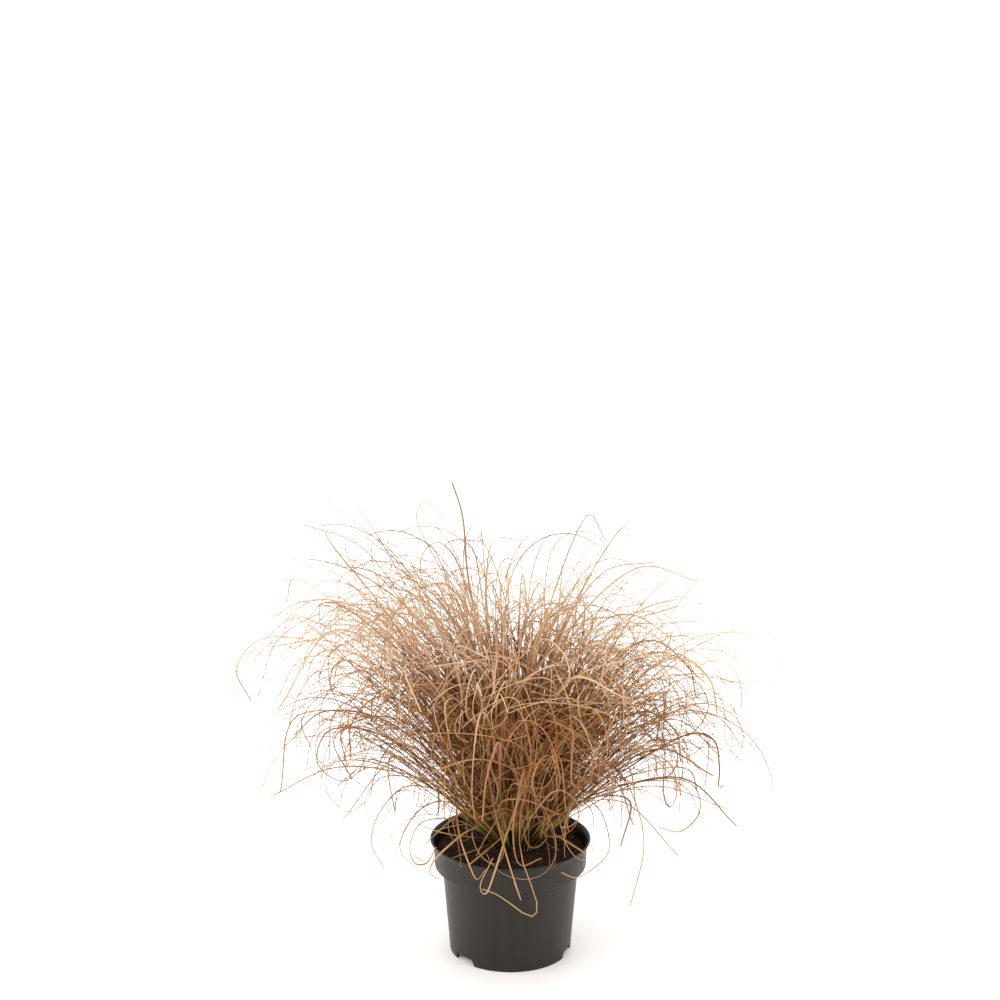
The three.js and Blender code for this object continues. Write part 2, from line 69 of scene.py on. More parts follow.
# what the edges are rounded to, in the order in which the profile comes to them
FOOT_ROUNDS = (0.6, 0.5, 0.9)
LEDGE_ROUNDS = (1.6, 1.3)
FLARE_ROUNDS = (3, 2)
LIP_ROUNDS = (0.4, 0.45, 0.6)
INNER_ROUND = 1
FILLET_STEPS = 5
WALL_BANDS = 10
POT_SIDES = 192
POT_SHARPNESS = 35  # blunter edges are shaded smooth
NOTCH_AZIMUTHS = (101, 221, 341)
NOTCH_WIDTH = 28
NOTCH_HEIGHT = 7.5
NOTCH_SLANT = 4  # how far each side comes in from its foot to its top
NOTCH_LEAN = 0.4  # and how far by the end of its straight part,
NOTCH_SIDE = 0.35  # which is at this share of the height
NOTCH_SHOULDER = 0.45  # the share of the height where the round corner starts
NOTCH_CORNER_WIDTH = 3
NOTCH_CORNER_STEPS = 4
NOTCH_OVERCUT = 2  # the cut starts this far under the foot
NOTCH_INSIDE = 7  # and this far inside the foot's face,
NOTCH_CUT = 12  # and is this long
LINE_OVER_NOTCH = 1
HOLE_COUNT = 6
HOLE_RADIUS = 5
HOLE_RING_RADIUS = 44
HOLE_TURN = 11  # round to the first hole
HOLE_CUT = (4, 14)  # the heights that a hole is cut between
HOLE_SIDES = 32

# ---------- Soil ----------
GAP = 0.3  # between pieces that almost touch
SOIL_EDGE = COLLAR_FOOT_RADIUS - WALL - 2 * GAP
SOIL_LEVEL = 111.5
SOIL_LUMPS = 1.3
SWELL = (0.13, 0.17, 0.12)  # radians for each millimetre: the first wave's, the second's back and across
SWELL_START = 1.1  # radians
UNEVENNESS = ((0.09, 1.5), (0.24, 1.1), (0.7, 0.5))  # (scale for each millimetre, height)
UNEVEN_SLICE = 3.7
SOIL_OVER_COLLAR_FOOT = 2
SOIL_OVER_WALL_TOP = 1.5
SOIL_RINGS = 70
SOIL_SIDES = 220
SOIL_SHARPNESS = 60
CRUMBS_PER_M2 = 190000
CRUMB_SIZE = (0.7, 3.2)
CRUMB_POWER = 3.0  # above 1, so that most crumbs are small
CRUMB_STRETCH = ((0.6, 0.5, 0.4), (1.4, 1.1, 0.9))
RAGGED_SCALE = 900.0  # for each metre
RAGGED_PUSH = 2.2
FIBRES_PER_M2 = 26000
FIBRE_LENGTH = (5, 15)
FIBRE_RADIUS = 0.25
FIBRE_BEND = 1.0  # radians
FIBRE_POINTS = 6
FIBRE_SIDES = 3
LITTER_SEEDS = {"crumbs": 5, "fibres": 9, "turn": 11, "shade": 12, "size": 21, "stretch": 22, "length": 31}

# ---------- Crown and leaves: the same rule as the solids follow ----------
PLANT_CENTRE = (6, 18)  # the plant stands a little behind the pot's axis
CROWN_RADIUS = 5.2  # of one tuft's bundle of sheaths
CROWN_NECK_RISE = 9.5
CROWN_JITTER = 0.35
# turn is round to a ring's first tuft. Leaves head up to fan to either side of their tuft's azimuth,
# and start at lean from upright.
RINGS = (
    {"tufts": 1, "radius": 0, "turn": 0, "leaves": 15, "fan": 180, "lean": (0, 19), "length": (275, 425)},
    {"tufts": 6, "radius": 11.2, "turn": 30, "leaves": 15, "fan": 38, "lean": (4, 32), "length": (270, 425)},
    {"tufts": 12, "radius": 22.6, "turn": 0, "leaves": 14, "fan": 29, "lean": (14, 50), "length": (250, 415)},
)
OUTER_RADIUS = RINGS[-1]["radius"]
LEAF_WIDTH = 2
ROOT_SPREAD = 4.2
ROOT_RISE = (2.5, 7.5)
GENTLE_TURN = (8, 40)  # by which any leaf bends over along its whole length
GENTLE_POWER = 1.6
# the arc that a leaf ends in: how far it turns, and where on the leaf it starts
HOOKS = {"turn": (140, 300), "start": (0.42, 0.76)}
ARCHES = {"turn": (40, 140), "start": (0.3, 0.7)}
CURLS = {"turn": (140, 280), "start": (0.2, 0.45)}  # of the low leaves
HOOK_SHARE = 0.28
ARC_POWER = 1.35
DRIFT = (-75, 75)  # by which its heading turns along its whole length,
SWAY = (-90, 90)  # and by which it turns more in the arc,
HOOK_SWAY = 1.5  # times this in a hook
SHORT_SHARE = 0.25  # of the leaves,
SHORTER = (0.45, 0.8)  # which reach only this share of their length
FULL_SIDE = 172  # the plant has its longest leaves on this side,
FULLER = 0.09  # longer by this share
LOW_SHARE = 0.03  # leaves of the outer ring that lie low over the soil and the rim
LOW_LEAN = (50, 66)
LOW_LENGTH = (80, 200)
SKIRT_RADIUS = 28  # the stems of the rest keep above a cone
SKIRT_SLOPE = (0.68, 1.1)
TIP_HEIGHT = (0.35, 0.75)  # and their tips above this share of the leaf's highest point,
HANGING_SHARE = 0.25  # but for these of the hooked leaves
STEM_STEPS = 2
STEP_EASE = 0.74  # below 1, the arc's steps get shorter towards the tip
TURN_PER_STEP = 67  # on average, at most
FEWEST_ARC_STEPS = 2
LEAF_CLEARANCE = LEAF_WIDTH + GAP
SIBLING_CLEARANCE = 1.6
SHARED_LENGTH = 4  # leaves of one tuft may touch this far up from their roots,
MOST_SHARED = 0.9  # though not beyond this share of the first step
TESTED_SHARES = (0.25, 0.5, 0.75, 1)  # of each step, at which it has to be in the plant's room
MOST_TRIES = 1500  # at a leaf, which is left out after that
# the room of all leaves but the strands: along X and Y, up, and down outside the lip
REACH = 284
TOP = 496
LOWEST_TIP = 116
SEED = 20417

# Single strands with a course of their own, as the solids have them: (ring, tuft, course).
STRANDS = (
    # over the rim in front
    (2, 9, (
        (-29, -46, 199), (-41, -75, 251), (-30, -100, 283), (-4, -125, 288), (15, -138, 268),
        (17, -140, 239), (9, -134, 204), (10, -122, 155), (26, -113, 101), (19, -107, 83),
        (-11, -103, 103), (-29, -99, 109))),
    (2, 10, (
        (28, -50, 200), (35, -88, 262), (20, -115, 244), (0, -118, 190), (-16, -112, 134),
        (-25, -108, 108), (-31, -103, 115), (-18, -100, 143))),
    (2, 8, (
        (-20, -62, 204), (-24, -92, 240), (-17, -108, 200), (-4, -108, 147), (10, -103, 99),
        (3, -98, 116))),
    (2, 7, (
        (-40, -50, 178), (-54, -75, 188), (-52, -92, 164), (-41, -98, 132), (-34, -96, 118),
        (-25, -94, 128))),
    (2, 11, (
        (58, -40, 181), (86, -60, 185), (99, -75, 161), (97, -82, 137), (69, -88, 117), (51, -88, 122))),
    # low over the soil and the rim
    (2, 8, ((-13, -7, 122), (-22, -33, 125), (-33, -63, 128), (-43, -84, 128))),
    (2, 7, ((-19, -1, 118), (-29, -16, 119), (-46, -32, 119), (-61, -43, 118))),
    (2, 7, ((-26, -4, 124), (-51, -15, 131), (-74, -19, 137), (-97, -12, 143))),
    (2, 10, (
        (11, -14, 171), (12, -26, 189), (13, -30, 164), (15, -29, 137), (21, -26, 123), (31, -22, 123),
        (39, -14, 129))),
    (2, 11, ((31, 5, 118), (41, -11, 119), (51, -24, 119))),
    (2, 8, (
        (-21, -10, 146), (-35, -29, 147), (-48, -46, 147), (-64, -61, 139), (-78, -68, 127),
        (-83, -70, 114), (-74, -70, 107))),
    (2, 7, (
        (-22, -8, 156), (-32, -22, 166), (-46, -36, 168), (-63, -46, 160), (-82, -54, 145),
        (-98, -58, 129), (-89, -58, 120))),
    (2, 6, ((-30, 11, 131), (-45, 8, 135), (-63, 6, 133), (-79, 6, 128))),
    (2, 11, (
        (31, -12, 165), (38, -24, 181), (46, -38, 177), (52, -50, 156), (57, -60, 141), (67, -68, 130),
        (78, -70, 127))),
    (2, 11, ((35, -4, 130), (50, -22, 133), (65, -38, 130), (78, -48, 125))),
    # at the sides
    (2, 0, (
        (47, -16, 186), (83, -30, 220), (111, -40, 212), (130, -45, 176), (138, -46, 129),
        (125, -45, 66))),
    (2, 6, ((-63, -10, 173), (-107, -20, 189), (-135, -30, 166), (-145, -35, 133), (-132, -35, 103))),
    (1, 2, ((-77, 4, 226), (-133, -12, 262), (-182, -26, 244), (-164, -32, 200))),
    (2, 8, ((-56, -66, 186), (-85, -84, 193), (-106, -96, 173), (-111, -100, 149), (-92, -103, 131))),
    # above the rest
    (0, 0, ((-21, 0, 288), (-43, 5, 400), (-49, 8, 468), (-60, 10, 506))),
    (1, 1, ((-31, 20, 285), (-66, 34, 392), (-97, 40, 456), (-89, 42, 478), (-70, 40, 462))),
    (1, 3, ((-52, -22, 300), (-93, -36, 410), (-145, -46, 462))),
    (1, 5, ((36, -22, 295), (67, -34, 392), (96, -42, 450), (114, -44, 472), (116, -44, 448))),
    (1, 0, ((24, 14, 299), (52, 26, 405), (80, 32, 466), (98, 34, 440))),
    # out to the furthest tips
    (2, 6, ((-114, 8, 264), (-196, 12, 330), (-258, 17, 338), (-288, 21, 304), (-274, 24, 266))),
    (2, 0, ((116, 12, 262), (196, 18, 330), (258, 24, 346), (288, 27, 318), (278, 28, 280))),
    (2, 3, ((8, 116, 264), (12, 198, 334), (16, 262, 344), (20, 288, 310), (22, 276, 276))),
    (2, 9, ((-16, -118, 272), (-27, -196, 330), (-33, -258, 328), (-36, -288, 290), (-34, -280, 258))),
)
STRAND_STEP = 38  # about, or less where a course has more points
ARC_DIVISIONS = 200

# ---------- The finer leaves that fill each tuft out ----------
FINE_SEED = 7193
FINE_LEAVES = (96, 84, 55)  # in each tuft of the three rings, from the middle out
SPARE_DRAWS = 8  # leaves drawn for each one that finds room
FINE_STEPS = 28
STEP_CLOSENESS = 0.62  # below 1, the steps get shorter towards the tip
FINE_WIDTH = (0.85, 1.55)
STRONG_WIDTH = (1.8, 2.6)
ROOT_DEPTH = 6  # leaves go this far into the soil
CROWN_SPREAD = 5.6
FINE_ROOT_RISE = (0, 9)
FINE_FAN = 1.3  # of the ring's fan
FINE_LENGTH = 0.99  # of the ring's length
FINE_LOW_SHARE = 0.02
FINE_CLEARANCE = 1  # over the soil's lumps
WOBBLE = 4  # at most, to and fro
WAVES = (0.8, 2.2)  # of the wobble in a leaf
KINK_SHARE = 0.04  # of the leaves,
KINK_TURN = (35, 120)  # which bend sharply by so much,
KINK_PLACE = (0.5, 0.88)  # this far along
TWIST = 1.2  # radians, from root to tip
HEADING_POINT = 4  # a blade faces the way that its line has gone by this point
ROOT_FLARE = 0.5  # of its width, by which a blade is wider at its root
ROOT_FLARE_REACH = 0.05  # of its length
TAPER_START = 0.5
TAPER_POWER = 1.4
TIP_SHARE = 0.55  # of the width, at the tip
KEEL_DEPTH = 0.85  # both depths as shares of half the blade's width
CHANNEL_DEPTH = 0.4
GREEN_SHARE = 0.2  # of the leaves, whose foot is green
PALEST_DARK = 0.3  # the strong leaves have no darker tone than this

# ---------- Colours: ramps of (place, display colour) ----------
# along a leaf, from its root to its tip
DARK_LEAF = (
    (0, (46, 32, 12)),
    (0.12, (78, 49, 22)),
    (0.4, (104, 65, 35)),
    (0.65, (148, 102, 58)),
    (1, (180, 140, 98)),
)
BRONZE_LEAF = (
    (0, (106, 90, 38)),
    (0.12, (136, 108, 52)),
    (0.4, (156, 110, 62)),
    (0.65, (184, 138, 88)),
    (1, (198, 161, 120)),
)
PALE_LEAF = (
    (0, (128, 110, 44)),
    (0.12, (168, 130, 66)),
    (0.4, (198, 152, 96)),
    (0.65, (210, 169, 116)),
    (1, (214, 182, 143)),
)
GREEN_LEAF = (
    (0, (176, 192, 60)),
    (0.12, (212, 222, 100)),
    (0.3, (184, 166, 88)),
    (0.65, (186, 148, 94)),
    (1, (199, 163, 122)),
)
# painted shade, up the plant between two heights: leaves darker low in the crown and towards the top
PAINTED_LEAF_SHADE = (
    (0, (218, 208, 196)),
    (0.14, (208, 196, 182)),
    (0.39, (232, 220, 203)),
    (0.6, (246, 242, 236)),
    (0.75, (222, 219, 217)),
    (1, (196, 193, 191)),
)
PAINTED_SHADE_HEIGHTS = (0.16, 0.5)  # metres
# painted light: leaves that lie low, further out than this from the plant's centre, are lit as if out of the
# crown's shade
OUT_OF_CROWN = (0.046, 0.062)  # metres
LYING_LOW = (0.14, 0.17)  # metres
PAINTED_LOW_LIGHT = (208, 180, 124)  # they are lightened towards this tan,
PAINTED_LOW_LIGHT_SHARE = 0.45  # as far as this
PAINTED_LIGHT_TINT = (242, 216, 184)  # painted light: the upper leaves are lightened towards this,
PAINTED_LIGHT_SHARES = ((0, (0, 0, 0)), (0.45, (180, 180, 180)), (1, (0, 0, 0)))  # as far as these greys say
PAINTED_LIGHT_HEIGHTS = (0.3, 0.41)  # metres
LEAF_BLUSH = ((0, (242, 252, 224)), (0.35, (252, 254, 247)), (0.65, (255, 252, 249)), (1, (255, 240, 233)))
LEAF_MARGIN = ((0, (236, 222, 210)), (0.5, (255, 251, 246)), (1, (255, 255, 255)))  # from edge to fold
LEAF_BLOTCHES = ((0.2, (212, 203, 196)), (0.8, (255, 255, 255)))
DARK_TONES = (0.08, 0.4)  # of the leaves between dark and bronze
PALE_TONES = (0.55, 0.9)  # of the leaves between bronze and pale
GREEN_FOOT = (0.1, 0.5)  # where along a leaf its green starts to fade, and where it has gone
POT_GREYS = ((0.2, (27, 24, 21)), (0.8, (38, 34, 30)))
POT_DUST = ((0.2, (225, 225, 225)), (0.8, (255, 255, 255)))
POT_SHEEN = (255, 246, 238)
PEAT_COLOURS = ((0.25, (22, 14, 9)), (0.55, (50, 34, 23)), (0.85, (92, 64, 44)))
CRUMB_COLOURS = ((0, (24, 15, 9)), (0.6, (52, 35, 24)), (0.9, (96, 68, 46)), (1, (140, 104, 74)))
CRUMB_COLOUR_SHARE = 0.75  # of the crumbs' own colours over the peat's
# the curve of display values: a straight dark end, then a power
DARK_END = 0.04045
DARK_SLOPE = 12.92
DISPLAY_OFFSET = 0.055
DISPLAY_POWER = 2.4

# ---------- Finishes: shader inputs, and inputs of the mottling (scales for each metre) ----------
WHITE = (1, 1, 1, 1)
MOTTLING_GRAIN = {"Detail": 4.0, "Roughness": 0.6}
LEAF_FINISH = {"Roughness": 0.5, "Specular IOR Level": 0.35}
LEAF_MOTTLING = {"Scale": 55.0, "Contrast": 1.2}
POT_FINISH = {"Specular IOR Level": 0.34}
POT_STREAKS = {"Scale": 90.0, "Stretch": (1.0, 1.0, 0.06), "Contrast": 1.6}
POT_HAZE = {"Scale": 14.0, "Contrast": 1.4}
STREAK_VALUES = (0.2, 0.8)  # from the one to the other,
STREAK_ROUGHNESS = (0.36, 0.5)  # the roughness goes like this
STREAK_BUMP = {"Strength": 0.12, "Distance": 0.0004}
PEAT_FINISH = {"Roughness": 0.9, "Specular IOR Level": 0.2}
PEAT_GRAIN = {"Scale": 260.0, "Contrast": 1.8}
FLOOR_FINISH = {
    "Base Color": (0.93, 0.93, 0.93, 1),
    "Roughness": 0.7,
    "Specular IOR Level": 0.2,
    "Emission Color": WHITE,
    "Emission Strength": 0.08,
}

# ---------- Camera (metres), floor and light ----------
CAMERA_BACK = 1.813
CAMERA_HEIGHT = 0.884
CAMERA_RIGHT = -0.011
CAMERA_PITCH = 12.28
CAMERA_LENS = 65.6  # mm
SENSOR_WIDTH = 36  # mm
FLOOR_HALF = 12000  # mm, from its middle to its sides
WORLD_LIGHT = 1.14
LIGHT_AIM = (0, 0, 0.25)
# name, place, size, watts, display colour
SOFTBOXES = (
    ("key", (-1.5, -1.7, 2.1), (1.5, 1.5), 9, (255, 252, 248)),
    ("top", (0.0, 0.4, 2.4), (2.2, 2.2), 12, (255, 252, 248)),
    ("left", (-1.7, -0.3, 0.6), (1.3, 1.6), 16, (255, 242, 230)),
    ("right", (1.6, -0.85, 0.6), (0.8, 1.6), 11, (255, 242, 230)),
    ("back", (0.3, 1.8, 1.7), (1.6, 1.0), 12, (255, 248, 240)),
)


# ---------- Repeatable draws ----------
class Draws:
    """Repeatable random numbers, the same ones as the solids are drawn with."""

    FACTOR = 1664525
    STEP = 1013904223
    RANGE = 2 ** 32

    def __init__(self, seed):
        self.state = seed

    def unit(self):
        self.state = (self.state * self.FACTOR + self.STEP) % self.RANGE
        return self.state / self.RANGE

    def between(self, limits):
        return mix(limits[0], limits[1], self.unit())


def mix(low, high, share):
    return (1 - share) * low + share * high


# ---------- Leaf lines ----------
def lay_out_tufts(draws):
    tufts = []
    for ring, layout in enumerate(RINGS):
        for index in range(layout["tufts"]):
            azimuth = layout["turn"] + 360 * index / layout["tufts"]
            x, y = (
                centre + layout["radius"] * way(math.radians(azimuth))
                + CROWN_JITTER * (draws.unit() - 0.5) * 2
                for centre, way in zip(PLANT_CENTRE, (math.cos, math.sin))
            )
            tufts.append({"ring": ring, "index": index, "azimuth": azimuth, "x": x, "y": y, "lines": []})
    return tufts


def grow_line(root, habit):
    """A leaf's middle line: a stem that bends over gently, then an arc that gets tighter to the tip."""
    arc_steps = max(math.ceil(habit["turn"] / TURN_PER_STEP), FEWEST_ARC_STEPS)
    start = habit["start"]
    line = [root]
    along = 0
    for step in range(1, STEM_STEPS + arc_steps + 1):
        arc_share = max(0, (step - STEM_STEPS) / arc_steps) ** STEP_EASE
        after = start * step / STEM_STEPS if step <= STEM_STEPS else mix(start, 1, arc_share)
        middle = (along + after) / 2
        late = max(0, (middle - start) / (1 - start))
        turn = habit["gentle"] * middle ** GENTLE_POWER + habit["turn"] * late ** ARC_POWER
        polar = math.radians(habit["lean"] + turn)
        heading = math.radians(habit["azimuth"] + habit["drift"] * middle + habit["sway"] * late)
        stride = habit["length"] * (after - along)
        last = line[-1]
        line.append((
            last[0] + stride * math.sin(polar) * math.cos(heading),
            last[1] + stride * math.sin(polar) * math.sin(heading),
            last[2] + stride * math.cos(polar),
        ))
        along = after
    return line


def draw_root(draws, tuft):
    turn = draws.unit() * 2 * math.pi
    radius = ROOT_SPREAD * math.sqrt(draws.unit())
    rise = draws.between(ROOT_RISE)
    return tuft["x"] + radius * math.cos(turn), tuft["y"] + radius * math.sin(turn), SOIL_LEVEL + rise


def draw_habit(draws, tuft):
    ring = RINGS[tuft["ring"]]
    low = draws.unit() < LOW_SHARE and ring["radius"] == OUTER_RADIUS
    hooked = draws.unit() < HOOK_SHARE
    arc = HOOKS if hooked else ARCHES
    bend = CURLS if low else arc
    short = draws.unit() < SHORT_SHARE
    azimuth = tuft["azimuth"] + ring["fan"] * (draws.unit() * 2 - 1)
    fullness = 1 + FULLER * math.cos(math.radians(azimuth - FULL_SIDE))
    return {
        "low": low,
        "hooked": hooked,
        "azimuth": azimuth,
        "lean": draws.between(LOW_LEAN if low else ring["lean"]),
        "length": draws.between(LOW_LENGTH if low else ring["length"]) * fullness
        * (draws.between(SHORTER) if short and not low else 1),
        "gentle": draws.between(GENTLE_TURN),
        "turn": draws.between(bend["turn"]),
        "start": draws.between(bend["start"]),
        "drift": draws.between(DRIFT),
        "sway": draws.between(SWAY) * (HOOK_SWAY if hooked else 1),
    }


def curve_point(points, share):
    """A point of the smooth curve through points, share 0 to 1 of the way by number of spans."""
    spans = len(points) - 1
    place = spans * share
    span = min(int(place), spans - 1)
    part = place - span
    near, far = points[span], points[span + 1]
    before = points[span - 1] if span > 0 else 2 * near - far
    after = points[span + 2] if span + 2 <= spans else 2 * far - near
    out, into = 0.5 * (far - before), 0.5 * (after - near)
    square_term = -3 * near + 3 * far - 2 * out - into
    cube_term = 2 * near - 2 * far + out + into
    return near + out * part + square_term * part ** 2 + cube_term * part ** 3


def curve_points(points, steps):
    return np.array([curve_point(points, i / steps) for i in range(steps + 1)])


def polyline_length(points):
    return float(np.linalg.norm(np.diff(points, axis=0), axis=1).sum())


def strand_points(tuft, course):
    root = (tuft["x"], tuft["y"], SOIL_LEVEL + ROOT_RISE[0])
    return np.array([root, *course], dtype=float)


def strand_line(tuft, course):
    points = strand_points(tuft, course)
    length = polyline_length(curve_points(points, ARC_DIVISIONS))
    return curve_points(points, max(math.floor(length / STRAND_STEP + 0.5), len(course)))


# ---------- Keeping leaves clear of each other, of the pot and of the soil ----------
def point_is_clear(x, y, z):
    radius = math.hypot(x, y)
    if max(abs(x), abs(y)) > REACH or z > TOP:
        return False
    if radius > LIP_RADIUS + LEAF_CLEARANCE:
        return z > LOWEST_TIP
    below = POT_HEIGHT if radius > WALL_TOP_RADIUS else SOIL_LEVEL + SOIL_LUMPS
    return z > below + LEAF_WIDTH


def line_is_in_room(line):
    for start, end in zip(line, line[1:]):
        for share in TESTED_SHARES:
            if not point_is_clear(*((e - s) * share + s for s, e in zip(start, end))):
                return False
    return True


def holds_up(draws, line, habit):
    """Whether a leaf holds itself up: its stem above a cone and its tip well up.

    Low leaves don't have to, and some hooks may hang.
    """
    hangs = draws.unit() < HANGING_SHARE and habit["hooked"]
    slope = draws.between(SKIRT_SLOPE)
    tip_share = draws.between(TIP_HEIGHT)
    if habit["low"]:
        return True
    heights = [z - SOIL_LEVEL for _, _, z in line]
    if not hangs and heights[-1] <= tip_share * max(heights):
        return False
    stem = line[:STEM_STEPS + 1]
    reaches = [math.hypot(x - PLANT_CENTRE[0], y - PLANT_CENTRE[1]) for x, y, _ in stem]
    return all(height > slope * (reach - SKIRT_RADIUS) for height, reach in zip(heights, reaches))


def gaps_squared(start, end, starts, ends):
    """Squared distances from one step to each of many others."""
    way = end - start
    ways = ends - starts
    offsets = start - starts
    square = way @ way
    squares = np.einsum("ij,ij->i", ways, ways)
    far_along = np.einsum("ij,ij->i", ways, offsets)
    along = offsets @ way
    shared = ways @ way
    spread = square * squares - shared * shared
    crossing = (shared * far_along - along * squares) / np.where(spread != 0, spread, 1)
    share = np.where(spread != 0, np.clip(crossing, 0, 1), 0)
    shares = (shared * share + far_along) / squares
    at_starts = np.clip(-along / square, 0, 1)
    at_ends = np.clip((shared - along) / square, 0, 1)
    share = np.where(shares < 0, at_starts, np.where(shares > 1, at_ends, share))
    shares = np.clip(shares, 0, 1)
    apart = (start + share[:, None] * way) - (starts + shares[:, None] * ways)
    return np.einsum("ij,ij->i", apart, apart)


class Settled:
    """The steps of every leaf line that is already in its place."""

    def __init__(self):
        self.start = np.zeros((0, 3))
        self.free = np.zeros((0, 3))
        self.end = np.zeros((0, 3))
        self.tuft = np.zeros(0, dtype=int)

    def add(self, line, tuft_number):
        start, free, end = step_ends(line)
        self.start = np.vstack((self.start, start))
        self.free = np.vstack((self.free, free))
        self.end = np.vstack((self.end, end))
        self.tuft = np.append(self.tuft, np.full(len(start), tuft_number))
        self.middle = (self.start + self.end) / 2
        self.half = np.linalg.norm(self.end - self.start, axis=1) / 2

    def is_clear(self, line, tuft_number):
        start, free, end = step_ends(line)
        for own_start, own_free, own_end in zip(start, free, end):
            middle = (own_start + own_end) / 2
            half = math.dist(own_start, own_end) / 2
            apart = np.linalg.norm(self.middle - middle, axis=1)
            near = np.flatnonzero(apart <= half + self.half + LEAF_CLEARANCE)
            siblings = near[self.tuft[near] == tuft_number]
            others = near[self.tuft[near] != tuft_number]
            if (gaps_squared(own_start, own_end, self.start[others], self.end[others])
                    < LEAF_CLEARANCE ** 2).any():
                return False
            if (gaps_squared(own_free, own_end, self.free[siblings], self.end[siblings])
                    < SIBLING_CLEARANCE ** 2).any():
                return False
        return True


def step_ends(line):
    """Each step's start, the start of the part that siblings keep clear of, and its end."""
    points = np.asarray(line, dtype=float)
    start, end = points[:-1], points[1:]
    free = start.copy()
    share = min(SHARED_LENGTH / np.linalg.norm(end[0] - start[0]), MOST_SHARED)
    free[0] = start[0] + (end[0] - start[0]) * share
    return start, free, end


def is_clear_of_crowns(line, tuft, tufts):
    room = CROWN_RADIUS + LEAF_WIDTH / 2 + GAP
    others = [other for other in tufts if other is not tuft]
    feet = np.array([(other["x"], other["y"], SOIL_LEVEL) for other in others])
    necks = feet + (0, 0, CROWN_NECK_RISE)
    start, _, end = step_ends(line)
    # the later steps are far above the crowns
    return (gaps_squared(start[0], end[0], feet, necks) > room ** 2).all()


def grow_leaves(draws, tufts):
    """Draws every leaf's line. One that would touch another is drawn again until it passes clear."""
    settled = Settled()
    for ring, index, course in STRANDS:
        number = next(i for i, tuft in enumerate(tufts) if (tuft["ring"], tuft["index"]) == (ring, index))
        settled.add(strand_line(tufts[number], course), number)
    for number, tuft in enumerate(tufts):
        for _ in range(RINGS[tuft["ring"]]["leaves"]):
            for _ in range(MOST_TRIES):
                root = draw_root(draws, tuft)
                habit = draw_habit(draws, tuft)
                line = grow_line(root, habit)
                if (holds_up(draws, line, habit) and line_is_in_room(line)
                        and is_clear_of_crowns(line, tuft, tufts) and settled.is_clear(line, number)):
                    tuft["lines"].append(np.array(line))
                    settled.add(line, number)
                    break


# ---------- Fine leaves ----------
def fine_bends(rng, low, hooked, name):
    """One of the numbers of the arc that each leaf ends in, by the kind of arc."""
    arcs, hooks, curls = (rng.uniform(*kind[name], len(low)) for kind in (ARCHES, HOOKS, CURLS))
    return np.where(low, curls, np.where(hooked, hooks, arcs))


def fine_habits(rng, tuft, count):
    """How each of a tuft's finer leaves grows, as arrays of count numbers."""
    ring = RINGS[tuft["ring"]]
    low = (rng.random(count) < FINE_LOW_SHARE) & (ring["radius"] == OUTER_RADIUS)
    hooked = rng.random(count) < HOOK_SHARE
    short = rng.random(count) < SHORT_SHARE
    azimuth = tuft["azimuth"] + rng.uniform(-1, 1, count) * ring["fan"] * FINE_FAN
    fullness = 1 + FULLER * np.cos(np.radians(azimuth - FULL_SIDE))
    length = rng.uniform(*ring["length"], count) * FINE_LENGTH * fullness
    length *= np.where(short, rng.uniform(*SHORTER, count), 1)
    return {
        "low": low,
        "hooked": hooked,
        "azimuth": azimuth,
        "lean": np.where(low, rng.uniform(*LOW_LEAN, count), rng.uniform(*ring["lean"], count)),
        "length": np.where(low, rng.uniform(*LOW_LENGTH, count), length),
        "gentle": rng.uniform(*GENTLE_TURN, count),
        "turn": fine_bends(rng, low, hooked, "turn"),
        "start": fine_bends(rng, low, hooked, "start"),
        "drift": rng.uniform(*DRIFT, count),
        "sway": rng.uniform(*SWAY, count) * np.where(hooked, HOOK_SWAY, 1),
        "wobble": rng.uniform(0, WOBBLE, count),
        "waves": rng.uniform(*WAVES, count) * 2 * math.pi,
        "phase": rng.uniform(0, 2 * math.pi, count),
        "kink": np.where(rng.random(count) < KINK_SHARE, rng.uniform(*KINK_TURN, count), 0),
        "kink_place": rng.uniform(*KINK_PLACE, count),
    }


def fine_ends():
    """Where along a leaf each point of its middle line comes."""
    return np.linspace(0, 1, FINE_STEPS + 1) ** STEP_CLOSENESS


def fine_lines(rng, tuft, count):
    """Middle lines of count finer leaves as one array (leaf, point, coordinate), and their habits."""
    habit = {name: values[:, None] for name, values in fine_habits(rng, tuft, count).items()}
    ends = fine_ends()
    middle = (ends[1:] + ends[:-1]) / 2
    wave = habit["wobble"] * np.sin(habit["waves"] * middle + habit["phase"])
    kink = habit["kink"] * (middle > habit["kink_place"])
    late = np.clip((middle - habit["start"]) / (1 - habit["start"]), 0, 1)
    turn = habit["gentle"] * middle ** GENTLE_POWER + habit["turn"] * late ** ARC_POWER + kink
    polar = np.radians(habit["lean"] + turn + wave * middle)
    heading = np.radians(habit["azimuth"] + habit["drift"] * middle + habit["sway"] * late + wave)
    stride = habit["length"] * np.diff(ends)
    steps = np.stack((
        stride * np.sin(polar) * np.cos(heading),
        stride * np.sin(polar) * np.sin(heading),
        stride * np.cos(polar),
    ), axis=-1)
    around = rng.uniform(0, 2 * math.pi, count)
    radius = CROWN_SPREAD * np.sqrt(rng.random(count))
    root = np.stack((
        tuft["x"] + radius * np.cos(around),
        tuft["y"] + radius * np.sin(around),
        SOIL_LEVEL + rng.uniform(*FINE_ROOT_RISE, count),
    ), axis=-1)
    lines = np.concatenate((root[:, None], root[:, None] + np.cumsum(steps, axis=1)), axis=1)
    return lines, habit


